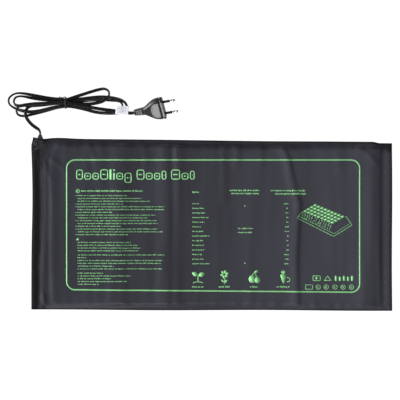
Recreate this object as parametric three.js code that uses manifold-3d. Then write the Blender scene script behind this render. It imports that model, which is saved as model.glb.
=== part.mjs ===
// Seedling heat mat: a thin welded vinyl envelope with a heating wire sandwich inside,
// and a flat two-core lead tied in a hank that ends in a flat two-pin mains plug.
// Millimetres. +Z is up, the mat lies on the plane z = 0 and is centred on the origin.
import * as THREE from "three";
import { mergeVertices } from "three/addons/utils/BufferGeometryUtils.js";
import Module from "manifold-3d";

const wasm = await Module();
wasm.setup();

// ---- driving dimensions -------------------------------------------------------------------

// envelope
const MAT_LENGTH = 527;
const MAT_WIDTH = 252; // at the end that the lead leaves
const FAR_END_NARROWING = 6; // the welded film draws the other end in
const CORNER_RADIUS = 3;
const FILM = 0.4; // thickness of each cover
const RIM_WIDTH = 6; // flat welded rim
const END_RIM = 8; // how much wider the rim is at the two ends
const RIM_SLOPE = 3; // run of the step from the rim up to the pad
const PLY_GAP = 0.1; // between layers that rest on each other
const PAD_CLEARANCE = 3; // from the pad to the inside of the step

// heating sandwich
const FOAM_THICKNESS = 1.4;
const FELT_THICKNESS = 0.3;
const FOIL_THICKNESS = 0.1;
const WIRE_DIAMETER = 1.2;
const WIRE_RUNS = 8; // even, so both ends come back to the lead's end
const WIRE_EDGE = 24; // from the pad's edge to the outer runs and the turns
const RETURN_LINE_EDGE = 7; // from the pad's edge to the return line
const TAPE_COUNT = 3;
const TAPE_WIDTH = 12;
const TAPE_THICKNESS = 0.1;
const FUSE_DIAMETER = 2.2;
const FUSE_LENGTH = 11;
const FUSE_SLEEVE_WALL = 0.3;
const POCKET_CLEARANCE = 0.4;

// junction under the corner of the top cover
const JUNCTION_FROM_SIDE = 15;
const JUNCTION_FROM_TOP = 22;
const JUNCTION_DIAMETER = 15;
const JUNCTION_HALF = 2.05; // height of its base, and of its lid
const JUNCTION_CHANNELS = 4.8; // spacing of its two wire channels
const CHANNEL_DIAMETER = 2.4;
const CRIMP_DIAMETER = 1.8;
const CRIMP_LENGTH = 7;
const CORE_DIAMETER = 1.1;
const CORE_SPACING = 2.6; // between the lead's two conductors
const NOTCH_CLEARANCE = 2.5; // from the junction to the notch in the pad
const COVER_CLEARANCE = 0.3; // from the junction and the gland to the cover over them

// gland where the lead leaves the rim
const GLAND_FROM_SIDE = 12.3;
const GLAND_WIDTH = 8.5;
const GLAND_HEIGHT = 3.9;
const GLAND_CORNER = 1.2;
const GLAND_INNER = 11; // length held inside the weld
const GLAND_OUTER = 5.4; // length of the tapered snout
const SNOUT_WIDTH = 3.9;
const SNOUT_HEIGHT = 5.9;

// lead: flat two-core flex
const CORD_WIDTH = 5;
const CORD_THICKNESS = 2.8;
const FACE_GAP = 0.3; // between the lead's solids and what they meet

// hank
const HANK_HEIGHT = 9;
const TIE_WIDTH = 1.9;
const TIE_THICKNESS = 0.8;
const TIE_TAIL = 10;
const TAG_LENGTH = 18.5;
const TAG_WIDTH = 12.5;
const TAG_THICKNESS = 0.4;

// plug: flat two-pin type
const PLUG_WIDTH = 35.3;
const PLUG_THICKNESS = 13.7;
const PLUG_FLANGE = 4.2;
const PLUG_GROOVE = 1.1;
const PLUG_GROOVE_DEPTH = 0.9;
const PLUG_GRIP = 10; // full-width length behind the groove
const PLUG_SHOULDER = 15; // length over which it narrows to the boot
const BOOT_LENGTH = 15;
const BOOT_WIDTH = 11.4;
const BOOT_THICKNESS = 8.4;
const BOOT_END_WIDTH = 8;
const BOOT_END_THICKNESS = 5.6;
const PIN_SPACING = 18.6;
const PIN_DIAMETER = 4;
const PIN_REACH = 19;
const PIN_ROOT = 7;
const PIN_NECK = 2.6; // diameter under the sleeve
const SLEEVE_DIAMETER = 3.8;
const SLEEVE_REACH = 10;
const BRIDGE_WIDTH = 27;
const BRIDGE_CORNER = 1.5;
const BRIDGE_THICKNESS = 8;
const BRIDGE_DEPTH = 6;
const PIN_CRIMP_DIAMETER = 3.2;
const PIN_CRIMP_LENGTH = 7;
const PLUG_FIT = 0.3;
const PLUG_YAW = 9; // degrees, about +Z
const PLUG_PITCH = -10; // pins up, so that the boot is near the floor
const PLUG_ROLL = 30; // its far side raised

// ---- places worked out from them ------------------------------------------------------------

const HALF_LENGTH = MAT_LENGTH / 2;
const HALF_WIDTH = MAT_WIDTH / 2;
const RIM_Z = FILM + PLY_GAP; // underside of the top cover's rim
const FOAM_Z = RIM_Z;
const FELT_Z = FOAM_Z + FOAM_THICKNESS + PLY_GAP;
const WIRE_Z = FELT_Z + FELT_THICKNESS + PLY_GAP + WIRE_DIAMETER / 2;
const FOIL_Z = WIRE_Z + WIRE_DIAMETER / 2 + PLY_GAP;
const COVER_Z = FOIL_Z + FOIL_THICKNESS + PLY_GAP; // underside of the top cover over the pad
const PAD_INSET = RIM_WIDTH + RIM_SLOPE + PAD_CLEARANCE;
const JUNCTION = new THREE.Vector2(-HALF_LENGTH + JUNCTION_FROM_SIDE, HALF_WIDTH - JUNCTION_FROM_TOP);
const JUNCTION_MID = RIM_Z + JUNCTION_HALF + PLY_GAP / 2;
const JUNCTION_TOP = RIM_Z + 2 * JUNCTION_HALF + PLY_GAP;
const GLAND_X = -HALF_LENGTH + GLAND_FROM_SIDE;
const PLUG_LENGTH = PLUG_FLANGE + PLUG_GROOVE + PLUG_GRIP + PLUG_SHOULDER + BOOT_LENGTH;

// ---- helpers --------------------------------------------------------------------------------

const vec2 = (x, y) => new THREE.Vector2(x, y);
const vec3 = (x, y, z) => new THREE.Vector3(x, y, z);

/** Corners moved inwards by the same distance from every side (anticlockwise polygon). */
function insetCorners(corners, distance) {
  return corners.map((corner, i) => {
    const before = corners[(i + corners.length - 1) % corners.length];
    const after = corners[(i + 1) % corners.length];
    const a = corner.clone().sub(before).normalize();
    const b = after.clone().sub(corner).normalize();
    const turn = a.cross(b);
    const shift = a.clone().multiplyScalar(-1).add(b).multiplyScalar(distance / turn);
    return corner.clone().add(shift);
  });
}

/** Points of a polygon with rounded corners. */
function roundedOutline(corners, radius, steps = 5) {
  const points = [];
  corners.forEach((corner, i) => {
    const before = corners[(i + corners.length - 1) % corners.length];
    const after = corners[(i + 1) % corners.length];
    const from = corner.clone().add(before.clone().sub(corner).setLength(radius));
    const to = corner.clone().add(after.clone().sub(corner).setLength(radius));
    points.push(...new THREE.QuadraticBezierCurve(from, corner, to).getPoints(steps));
  });
  return points;
}

const rectangle = (width, height) => [
  vec2(-width / 2, -height / 2),
  vec2(width / 2, -height / 2),
  vec2(width / 2, height / 2),
  vec2(-width / 2, height / 2),
];

/** A solid between two outlines with the same number of points, from z0 up to z1. */
function slab(lower, z0, z1, upper = lower) {
  const geometry = new THREE.ExtrudeGeometry(new THREE.Shape(lower), { depth: 1, bevelEnabled: false });
  const position = geometry.attributes.position;
  for (let i = 0; i < position.count; i++) {
    const top = position.getZ(i) > 0.5;
    const here = vec2(position.getX(i), position.getY(i));
    const nearest = lower.reduce(
      (best, point, n) => (point.distanceTo(here) < lower[best].distanceTo(here) ? n : best), 0);
    const target = (top ? upper : lower)[nearest];
    position.setXYZ(i, target.x, target.y, top ? z1 : z0);
  }
  return solid(geometry);
}

/** The mesh as a manifold-3d solid. */
function solid(geometry) {
  geometry.deleteAttribute("normal");
  geometry.deleteAttribute("uv");
  const merged = mergeVertices(geometry, 1e-5);
  return new wasm.Manifold(new wasm.Mesh({
    numProp: 3,
    vertProperties: new Float32Array(merged.attributes.position.array),
    triVerts: new Uint32Array(merged.index.array),
  }));
}

/** A block about its centre. */
function box(width, depth, height, x, y, z) {
  return solid(new THREE.BoxGeometry(width, depth, height).translate(x, y, z));
}

/** A cylinder from one point to another. */
function rod(diameter, from, to, sides = 24) {
  const length = from.distanceTo(to);
  const geometry = new THREE.CylinderGeometry(diameter / 2, diameter / 2, length, sides);
  const turn = new THREE.Quaternion().setFromUnitVectors(vec3(0, 1, 0), to.clone().sub(from).normalize());
  const middle = from.clone().add(to).multiplyScalar(0.5);
  return solid(geometry.applyQuaternion(turn).translate(middle.x, middle.y, middle.z));
}

/** A round profile [distance along X, radius], turned about the X axis. */
function turned(profile, sides = 20) {
  const geometry = new THREE.LatheGeometry(profile.map(([along, radius]) => vec2(radius, along)), sides);
  return solid(geometry.rotateZ(-Math.PI / 2));
}

/** A line through given stations, each of which becomes one section of a tube. */
class Stations extends THREE.Curve {
  constructor(points) {
    super();
    this.points = points;
  }

  getPoint(t) {
    const place = t * (this.points.length - 1);
    const first = Math.min(Math.floor(place), this.points.length - 2);
    return this.points[first].clone().lerp(this.points[first + 1], place - first);
  }

  getUtoTmapping(u) {
    return u;
  }
}

/** A tube along stations; its section is width across the route and height upwards. */
function tube(stations, width, height, sides = 8) {
  const section = new THREE.Shape(Array.from({ length: sides }, (_, i) => {
    const angle = ((i + 0.5) / sides) * 2 * Math.PI;
    const reach = 1 / Math.cos(Math.PI / sides);
    return vec2((height / 2) * reach * Math.cos(angle), (width / 2) * reach * Math.sin(angle));
  }));
  const curve = new Stations(stations);
  return solid(new THREE.ExtrudeGeometry(section, { steps: stations.length - 1, extrudePath: curve }));
}

/** A half circle of stations about a centre, from one angle to another in degrees. */
function arc(centre, radius, from, to, z, steps = 8) {
  return Array.from({ length: steps + 1 }, (_, i) => {
    const angle = THREE.MathUtils.degToRad(from + ((to - from) * i) / steps);
    return vec3(centre.x + radius * Math.cos(angle), centre.y + radius * Math.sin(angle), z);
  });
}

const material = (color, roughness, metalness = 0) =>
  new THREE.MeshStandardMaterial({ color, roughness, metalness });

/** A named mesh from a manifold-3d solid. */
function part(name, body, look) {
  const { vertProperties, triVerts } = body.getMesh();
  const geometry = new THREE.BufferGeometry();
  geometry.setAttribute("position", new THREE.BufferAttribute(new Float32Array(vertProperties), 3));
  geometry.setIndex(new THREE.BufferAttribute(new Uint32Array(triVerts), 1));
  geometry.computeVertexNormals();
  const mesh = new THREE.Mesh(geometry, look);
  mesh.name = name;
  return mesh;
}

// ---- envelope -------------------------------------------------------------------------------

/** Y of the mat's edge on the side that the lead leaves. */
function edgeAt(x) {
  const share = (x + HALF_LENGTH) / MAT_LENGTH;
  return HALF_WIDTH - FAR_END_NARROWING * share;
}

/** The mat's outline, moved in by an inset all round and by a further step at its two ends. */
function matOutline(inset, ends = 0) {
  const end = HALF_LENGTH - ends;
  const corners = [
    vec2(-end, -HALF_WIDTH), vec2(end, -HALF_WIDTH), vec2(end, edgeAt(end)), vec2(-end, edgeAt(-end)),
  ];
  return roundedOutline(insetCorners(corners, inset), CORNER_RADIUS);
}

const GLAND_EDGE = edgeAt(GLAND_X);
const GLAND_TIP = GLAND_EDGE + GLAND_OUTER;

function makeBottomCover() {
  return slab(matOutline(0), 0, FILM);
}

/** What the top cover leaves free around the junction and the gland, grown by a distance. */
function cornerRoom(grow) {
  const reach = GLAND_EDGE - JUNCTION.y + 1;
  const width = GLAND_WIDTH + 2 * COVER_CLEARANCE + 2 * grow;
  const top = JUNCTION_TOP + COVER_CLEARANCE + grow;
  const dome = rod(
    JUNCTION_DIAMETER + 2 * COVER_CLEARANCE + 2 * grow,
    vec3(JUNCTION.x, JUNCTION.y, -1), vec3(JUNCTION.x, JUNCTION.y, top), 32);
  const tunnel = box(width, reach, top + 1, GLAND_X, JUNCTION.y + reach / 2, (top - 1) / 2);
  const left = CHANNEL_NEUTRAL - LEG_ROOM - grow;
  const right = PAD_LEFT + PAD_CLEARANCE;
  const low = LEG_FOOT - LEG_ROOM - grow;
  const legs = box(right - left, JUNCTION.y - low, COVER_Z + grow + 1,
    (left + right) / 2, (JUNCTION.y + low) / 2, (COVER_Z + grow - 1) / 2);
  return dome.add(tunnel).add(legs);
}

function makeTopCover() {
  const rim = slab(matOutline(0), RIM_Z, RIM_Z + FILM);
  const outline = (inset) => matOutline(inset, END_RIM);
  const step = slab(outline(RIM_WIDTH), RIM_Z, COVER_Z + FILM, outline(RIM_WIDTH + RIM_SLOPE));
  const hollow = slab(
    outline(RIM_WIDTH + FILM), RIM_Z - FILM, COVER_Z, outline(RIM_WIDTH + RIM_SLOPE + FILM));
  const onMat = slab(matOutline(0), RIM_Z, 2 * JUNCTION_TOP);
  return rim.add(step).add(cornerRoom(FILM)).subtract(hollow).subtract(cornerRoom(0)).intersect(onMat);
}

// ---- heating sandwich -----------------------------------------------------------------------

/** Room for the junction in the pad's corner. */
function padNotch() {
  const side = HALF_LENGTH + JUNCTION.x + JUNCTION_DIAMETER / 2 + NOTCH_CLEARANCE;
  const top = HALF_WIDTH - JUNCTION.y + JUNCTION_DIAMETER / 2 + NOTCH_CLEARANCE;
  const height = 4 * COVER_Z;
  return box(side, top, height, -HALF_LENGTH + side / 2, HALF_WIDTH - top / 2, 0);
}

const PAD_LEFT = -HALF_LENGTH + END_RIM + PAD_INSET;
const PAD_RIGHT = HALF_LENGTH - END_RIM - PAD_INSET;
const PAD_BOTTOM = -HALF_WIDTH + PAD_INSET;
const PAD_TOP = edgeAt(PAD_RIGHT) - PAD_INSET;
const RETURN_X = PAD_LEFT + RETURN_LINE_EDGE;
const RUN_PITCH = (PAD_TOP - PAD_BOTTOM - WIRE_EDGE) / (WIRE_RUNS - 1);
const RUN_LEFT = PAD_LEFT + WIRE_EDGE;
const RUN_RIGHT = PAD_RIGHT - WIRE_EDGE;
const runY = (run) => PAD_TOP - WIRE_EDGE / 2 - run * RUN_PITCH;
const CHANNEL_LIVE = JUNCTION.x + JUNCTION_CHANNELS / 2;
const CHANNEL_NEUTRAL = JUNCTION.x - JUNCTION_CHANNELS / 2;
const CRIMP_END = JUNCTION.y - CRIMP_LENGTH / 2 - PLY_GAP;
const NOTCH_EDGE = JUNCTION.y - JUNCTION_DIAMETER / 2 - NOTCH_CLEARANCE;
const LEG_ROOM = 2; // clearance of the wires between the junction and the pad
const LEG_SHIFT = 2; // how far either wire steps sideways on its way to the junction
const LEG_FOOT = NOTCH_EDGE - 5; // where the return lead turns towards the junction
const FUSE_Y = (runY(1) + runY(2)) / 2; // middle of the fuse on the return line

const fusePocket = () => box(
  FUSE_DIAMETER + 2 * FUSE_SLEEVE_WALL + 2 * POCKET_CLEARANCE,
  FUSE_LENGTH + 2 * POCKET_CLEARANCE, 2 * COVER_Z, RETURN_X, FUSE_Y, FOAM_Z + COVER_Z);

/** A layer of the pad, with room for the junction at its corner and for the fuse. */
function makeLayer(z, thickness) {
  return slab(matOutline(PAD_INSET, END_RIM), z, z + thickness).subtract(padNotch()).subtract(fusePocket());
}

/** The wire's stations: from the junction, over every run, to the foot of the return line. */
function wireStations() {
  const junctionLegs = [
    vec3(CHANNEL_LIVE, CRIMP_END, JUNCTION_MID),
    vec3(CHANNEL_LIVE, JUNCTION.y - JUNCTION_DIAMETER / 2, JUNCTION_MID),
    vec3(CHANNEL_LIVE + LEG_SHIFT, NOTCH_EDGE + WIRE_DIAMETER, WIRE_Z),
  ];
  const radius = RUN_PITCH / 2;
  const stations = [...junctionLegs];
  for (let run = 0; run < WIRE_RUNS; run++) {
    const rightward = run % 2 === 0;
    if (run === 0) stations.push(vec3(RUN_LEFT, runY(0), WIRE_Z));
    if (run === WIRE_RUNS - 1) break;
    const centre = vec2(rightward ? RUN_RIGHT : RUN_LEFT, runY(run) - radius);
    stations.push(...arc(centre, radius, 90, rightward ? -90 : 270, WIRE_Z));
  }
  const foot = vec2(RETURN_X + radius, runY(WIRE_RUNS - 1) + radius);
  stations.push(...arc(foot, radius, 270, 180, WIRE_Z, 4));
  stations.push(vec3(RETURN_X, FUSE_Y - FUSE_LENGTH / 2 - PLY_GAP, WIRE_Z));
  return stations;
}

const makeWire = () => tube(wireStations(), WIRE_DIAMETER, WIRE_DIAMETER, 6);

const makeReturnLead = () => tube([
  vec3(RETURN_X, FUSE_Y + FUSE_LENGTH / 2 + PLY_GAP, WIRE_Z),
  vec3(RETURN_X, LEG_FOOT, WIRE_Z),
  vec3(CHANNEL_NEUTRAL + LEG_SHIFT, LEG_FOOT + LEG_SHIFT, WIRE_Z),
  vec3(CHANNEL_NEUTRAL, JUNCTION.y - JUNCTION_DIAMETER / 2, JUNCTION_MID),
  vec3(CHANNEL_NEUTRAL, CRIMP_END, JUNCTION_MID),
], WIRE_DIAMETER, WIRE_DIAMETER, 6);

const FUSE_Z = COVER_Z - PLY_GAP - FUSE_DIAMETER / 2 - FUSE_SLEEVE_WALL - PLY_GAP;
const fuseEnds = (shorter) => [
  vec3(RETURN_X, FUSE_Y - FUSE_LENGTH / 2 + shorter, FUSE_Z),
  vec3(RETURN_X, FUSE_Y + FUSE_LENGTH / 2 - shorter, FUSE_Z),
];

function makeFuseSleeve() {
  const [from, to] = fuseEnds(0);
  const outer = rod(FUSE_DIAMETER + 2 * FUSE_SLEEVE_WALL, from, to, 16);
  const bore = rod(FUSE_DIAMETER, from.clone().setY(from.y - 1), to.clone().setY(to.y + 1), 16);
  return outer.subtract(bore);
}

function makeFuse() {
  const [from, to] = fuseEnds(PLY_GAP);
  return rod(FUSE_DIAMETER - 2 * PLY_GAP, from, to, 16);
}

const TAPE_LENGTH = PAD_TOP - PAD_BOTTOM - WIRE_EDGE / 2;

/** A tape strip across the runs, let into the top of the felt, or grown into the room for it. */
function tapeStrip(index, grow) {
  const x = RUN_LEFT + ((index + 0.5) * (RUN_RIGHT - RUN_LEFT)) / TAPE_COUNT;
  const depth = TAPE_THICKNESS + grow;
  const top = FELT_Z + FELT_THICKNESS;
  return box(TAPE_WIDTH + 2 * grow, TAPE_LENGTH + 2 * grow, depth + grow,
    x, (PAD_TOP + PAD_BOTTOM) / 2, top + (grow - depth) / 2);
}

function makeFelt() {
  let felt = makeLayer(FELT_Z, FELT_THICKNESS);
  for (let index = 0; index < TAPE_COUNT; index++) felt = felt.subtract(tapeStrip(index, PLY_GAP));
  return felt;
}

// ---- junction and gland ---------------------------------------------------------------------

function channelCuts() {
  const reach = JUNCTION_DIAMETER;
  const cut = (x) => rod(CHANNEL_DIAMETER,
    vec3(x, JUNCTION.y - reach, JUNCTION_MID), vec3(x, JUNCTION.y + reach, JUNCTION_MID), 12);
  return cut(CHANNEL_LIVE).add(cut(CHANNEL_NEUTRAL));
}

function makeJunctionHalf(z) {
  const disc = rod(JUNCTION_DIAMETER,
    vec3(JUNCTION.x, JUNCTION.y, z), vec3(JUNCTION.x, JUNCTION.y, z + JUNCTION_HALF), 32);
  return disc.subtract(channelCuts());
}

function makeCrimp(x) {
  const half = CRIMP_LENGTH / 2;
  return rod(CRIMP_DIAMETER,
    vec3(x, JUNCTION.y - half, JUNCTION_MID), vec3(x, JUNCTION.y + half, JUNCTION_MID), 12);
}

const GLAND_BACK = GLAND_EDGE - GLAND_INNER;

/** A conductor of the lead, from the back of the gland to its crimp. */
function makeCore(side, channel) {
  const x = GLAND_X + (side * CORE_SPACING) / 2;
  const crimpTop = JUNCTION.y + CRIMP_LENGTH / 2 + PLY_GAP;
  return tube([
    vec3(x, GLAND_BACK - PLY_GAP, JUNCTION_MID),
    vec3(x, GLAND_BACK - 1, JUNCTION_MID),
    vec3(channel, JUNCTION.y + JUNCTION_DIAMETER / 2, JUNCTION_MID),
    vec3(channel, crimpTop, JUNCTION_MID),
  ], CORE_DIAMETER, CORE_DIAMETER, 6);
}

/** Block held in the weld and the tapered snout that the lead comes out of. */
function makeGland() {
  const mid = GLAND_HEIGHT / 2 + RIM_Z;
  const grown = roundedOutline(rectangle(GLAND_WIDTH, GLAND_HEIGHT), GLAND_CORNER, 3);
  const lift = SNOUT_HEIGHT / 2 + PLY_GAP - mid;
  const tip = roundedOutline(rectangle(SNOUT_WIDTH, SNOUT_HEIGHT), GLAND_CORNER, 3)
    .map((p) => vec2(p.x, p.y + lift));
  const stand = (body) => body.rotate([90, 0, 180]).translate([GLAND_X, 0, mid]);
  const inner = stand(slab(grown, GLAND_BACK, GLAND_EDGE + FACE_GAP));
  const snout = stand(slab(grown, GLAND_EDGE + FACE_GAP / 2, GLAND_TIP, tip));
  const room = rod(JUNCTION_DIAMETER + 2 * FACE_GAP,
    vec3(JUNCTION.x, JUNCTION.y, -1), vec3(JUNCTION.x, JUNCTION.y, 2 * JUNCTION_TOP), 32);
  return inner.add(snout).subtract(room);
}

// ---- lead -----------------------------------------------------------------------------------

// The lead's points are set out from where it leaves the gland.
const EXIT = vec3(GLAND_X, GLAND_TIP, SNOUT_HEIGHT / 2 + PLY_GAP);
const fromExit = ([x, y]) => vec2(EXIT.x + x, EXIT.y + y);

const MAT_LEAD_ROUTE = [
  [0, FACE_GAP], [0, 3], [-0.8, 5.8], [-2.8, 8.8], [-6.4, 12], [-10.6, 15.8], [-14.6, 20.2], [-17.6, 23.6],
];

function makeMatLead() {
  const low = CORD_THICKNESS / 2 + PLY_GAP;
  const stations = MAT_LEAD_ROUTE.map((point, i) => {
    const flat = fromExit(point);
    const fallen = THREE.MathUtils.clamp((i - 1) / 4, 0, 1);
    return vec3(flat.x, flat.y, THREE.MathUtils.lerp(EXIT.z, low, fallen));
  });
  return tube(stations, CORD_WIDTH, CORD_THICKNESS, 8);
}

// Hank outline, from the top of the tie round the left lobe and then round the right lobe.
const TIE_X = 37.4;
const TIE_TOP = 55.6;
const TIE_BOTTOM = 38.4;
const HANK_LEFT_LOBE = [
  [10, 59.4], [-20, 64.2], [-38, 63], [-47.5, 53.5], [-46, 43], [-38.5, 33], [-31, 27], [-20, 26.2], [4, 31],
];
const HANK_RIGHT_LOBE = [
  [60, 35.4], [90, 31.4], [118, 28.5], [127, 31], [129, 40], [122, 50.8], [104, 57], [102.5, 67],
  [90, 70.2], [64, 62.4],
];

function hankOutline() {
  const start = [TIE_X, TIE_TOP];
  const foot = [TIE_X, TIE_BOTTOM];
  const lobe = (ends) => new THREE.SplineCurve(ends.map(fromExit)).getPoints(3 * ends.length);
  const left = lobe([start, ...HANK_LEFT_LOBE, foot]);
  const right = lobe([foot, ...HANK_RIGHT_LOBE, start]);
  return [...left.slice(0, -1), ...right.slice(0, -1)];
}

/** A band round the waist of the hank, from one distance outside it to another. */
function tieFrame(inner, outer, width) {
  const middle = fromExit([TIE_X, (TIE_TOP + TIE_BOTTOM) / 2]);
  const across = TIE_TOP - TIE_BOTTOM;
  const block = (grow, length) => box(
    length, across + 2 * grow, HANK_HEIGHT + 2 * grow, middle.x, middle.y, HANK_HEIGHT / 2);
  return block(outer, width).subtract(block(inner, 2 * width));
}

// The tie sits in a waist in the hank, so that nothing goes below the floor.
const TIE_SINK = TIE_THICKNESS + PLY_GAP;

function makeHank() {
  const body = slab(hankOutline(), PLY_GAP, HANK_HEIGHT);
  return body.subtract(tieFrame(-TIE_SINK - FACE_GAP, 5, TIE_WIDTH + 2 * FACE_GAP));
}

function makeTwistTie() {
  const middle = fromExit([TIE_X, TIE_TOP]);
  const ring = tieFrame(-TIE_SINK, -PLY_GAP, TIE_WIDTH);
  const tail = box(TIE_TAIL, TIE_WIDTH, TIE_THICKNESS,
    middle.x - TIE_TAIL / 2 + TIE_WIDTH / 2, middle.y - TIE_WIDTH,
    HANK_HEIGHT + PLY_GAP + TIE_THICKNESS / 2);
  const knot = box(TIE_WIDTH, TIE_WIDTH, 2 * TIE_THICKNESS, middle.x, middle.y - TIE_WIDTH, HANK_HEIGHT);
  return ring.add(knot).add(tail);
}

const TAG_CENTRE = [120.2, 35.8];

function makeTag() {
  const centre = fromExit(TAG_CENTRE);
  const outline = roundedOutline(rectangle(TAG_LENGTH, TAG_WIDTH), 1, 3);
  const z = HANK_HEIGHT + FACE_GAP;
  return slab(outline, z, z + TAG_THICKNESS).translate([centre.x, centre.y, 0]);
}

// ---- plug -----------------------------------------------------------------------------------
// In the plug's own frame +X is the way the pins point and x = 0 is the face they stand on.

function flangeOutline() {
  const halfWidth = PLUG_WIDTH / 2;
  const halfThick = PLUG_THICKNESS / 2;
  const flat = halfWidth - halfThick * 0.75;
  return roundedOutline([
    vec2(-halfWidth, 0), vec2(-flat, -halfThick), vec2(flat, -halfThick),
    vec2(halfWidth, 0), vec2(flat, halfThick), vec2(-flat, halfThick),
  ], 1.5, 3);
}

const scaled = (points, x, y) => points.map((p) => vec2(p.x * x, p.y * y));

/** Turns a body made along +Z so that it runs along +X, with the section's X across the plug. */
const lay = (body) => body.rotate([90, 0, 90]);

function makePlugBody() {
  const full = flangeOutline();
  const grooveScale = 1 - (2 * PLUG_GROOVE_DEPTH) / PLUG_WIDTH;
  const grooveThick = 1 - (2 * PLUG_GROOVE_DEPTH) / PLUG_THICKNESS;
  const neck = scaled(full, BOOT_WIDTH / PLUG_WIDTH, BOOT_THICKNESS / PLUG_THICKNESS);
  const end = scaled(full, BOOT_END_WIDTH / PLUG_WIDTH, BOOT_END_THICKNESS / PLUG_THICKNESS);
  const overlap = 0.01;
  let at = 0;
  const piece = (length, from, to) => {
    const made = slab(from, at - length, at + (at ? overlap : 0), to);
    at -= length;
    return made;
  };
  const body = [
    piece(PLUG_FLANGE, full, full),
    piece(PLUG_GROOVE, scaled(full, grooveScale, grooveThick), scaled(full, grooveScale, grooveThick)),
    piece(PLUG_GRIP, full, full),
    piece(PLUG_SHOULDER, neck, full),
    piece(BOOT_LENGTH, end, neck),
  ].reduce((whole, next) => whole.add(next));
  return lay(body).subtract(plugRoom());
}

/** Everything inside the plug's moulding, with its clearance. */
function plugRoom() {
  const depth = BRIDGE_DEPTH + PLUG_FIT;
  const pocket = box(2 * depth, BRIDGE_WIDTH + 2 * PLUG_FIT, BRIDGE_THICKNESS + 2 * PLUG_FIT, 0, 0, 0);
  return [-1, 1].reduce((room, side) => {
    const y = (side * PIN_SPACING) / 2;
    const behind = PIN_ROOT + PIN_CRIMP_LENGTH + 3 * PLUG_FIT;
    return room.add(rod(PIN_CRIMP_DIAMETER + 2 * PLUG_FIT, vec3(-behind, y, 0), vec3(0, y, 0), 16));
  }, pocket);
}

function makeBridge() {
  const outline = roundedOutline(rectangle(BRIDGE_WIDTH, BRIDGE_THICKNESS), BRIDGE_CORNER, 3);
  const bridge = lay(slab(outline, -BRIDGE_DEPTH, 0));
  return [-1, 1].reduce((body, side) => {
    const y = (side * PIN_SPACING) / 2;
    const bore = SLEEVE_DIAMETER + 2 * PLUG_FIT;
    return body.subtract(rod(bore, vec3(-2 * BRIDGE_DEPTH, y, 0), vec3(BRIDGE_DEPTH, y, 0), 20));
  }, bridge);
}

function makePin() {
  const tip = PIN_DIAMETER / 2;
  return turned([
    [-PIN_ROOT, 0], [-PIN_ROOT, PIN_NECK / 2], [SLEEVE_REACH + PLUG_FIT, PIN_NECK / 2],
    [SLEEVE_REACH + PLUG_FIT, tip], [PIN_REACH - tip, tip], [PIN_REACH - 0.5 * tip, 0.87 * tip],
    [PIN_REACH - 0.13 * tip, 0.5 * tip], [PIN_REACH, 0],
  ]);
}

function makeSleeve() {
  const start = -BRIDGE_DEPTH + PLUG_FIT;
  const bore = PIN_NECK / 2 + PLUG_FIT / 2;
  return turned([
    [start, bore], [start, SLEEVE_DIAMETER / 2], [SLEEVE_REACH, SLEEVE_DIAMETER / 2], [SLEEVE_REACH, bore],
    [start, bore],
  ]);
}

const makePinCrimp = () => rod(PIN_CRIMP_DIAMETER,
  vec3(-PIN_ROOT - PLUG_FIT - PIN_CRIMP_LENGTH, 0, 0), vec3(-PIN_ROOT - PLUG_FIT, 0, 0), 16);

function makePlug() {
  const plug = new THREE.Group();
  plug.add(part("plug_body", makePlugBody(), vinylBlack));
  plug.add(part("plug_bridge", makeBridge(), plasticBlack));
  for (const [label, side] of [["near", -1], ["far", 1]]) {
    const pieces = [
      part(`pin_${label}`, makePin(), brightMetal),
      part(`pin_sleeve_${label}`, makeSleeve(), plasticBlack),
      part(`pin_crimp_${label}`, makePinCrimp(), brightMetal),
    ];
    for (const piece of pieces) {
      piece.position.y = (side * PIN_SPACING) / 2;
      plug.add(piece);
    }
  }
  return plug;
}

// Back of the boot, set out from the gland.
const BOOT_AT = [138.1, 31.9];

/** Stands the plug at its yaw, pitch and roll with its lowest point just above the floor. */
function placePlug(plug) {
  const angle = THREE.MathUtils.degToRad;
  plug.rotation.set(angle(PLUG_ROLL), angle(PLUG_PITCH), angle(PLUG_YAW), "ZYX");
  const back = vec3(-PLUG_LENGTH, 0, 0).applyEuler(plug.rotation);
  const boot = fromExit(BOOT_AT);
  plug.position.set(boot.x - back.x, boot.y - back.y, 0);
  plug.updateMatrixWorld(true);
  plug.position.z = PLY_GAP - new THREE.Box3().setFromObject(plug, true).min.z;
  plug.updateMatrixWorld(true);
  return plug;
}

// From the right lobe of the hank to the boot.
const PLUG_LEAD_START = [129.8, 31.9];
const PLUG_LEAD_HEIGHT = 6; // over the turns of the hank

function makePlugLead(plug) {
  const start = fromExit(PLUG_LEAD_START);
  const end = plug.localToWorld(vec3(-PLUG_LENGTH - FACE_GAP, 0, 0));
  const before = plug.localToWorld(vec3(-PLUG_LENGTH - 2, 0, 0));
  const stations = [vec3(start.x, start.y, PLUG_LEAD_HEIGHT), before, end];
  return tube(stations, CORD_WIDTH, CORD_THICKNESS, 8);
}

// ---- materials ------------------------------------------------------------------------------

const vinylGrey = material(0x3d3d45, 0.45);
const vinylUnderside = material(0x38383f, 0.5);
const vinylBlack = material(0x151518, 0.4);
const plasticBlack = material(0x101012, 0.45);
const foamLook = material(0xd9d9d4, 0.9);
const feltLook = material(0xe6e6e0, 0.95);
const foilLook = material(0xc8cacc, 0.3, 0.9);
const tapeLook = material(0xe0d9a8, 0.5);
const wireLook = material(0xb23a2c, 0.5);
const brightMetal = material(0xcfcfca, 0.25, 1);
const sleeveLook = material(0xe8e8e4, 0.6);
const tagLook = material(0xebebf2, 0.6);

// ---- assembly -------------------------------------------------------------------------------

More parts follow.
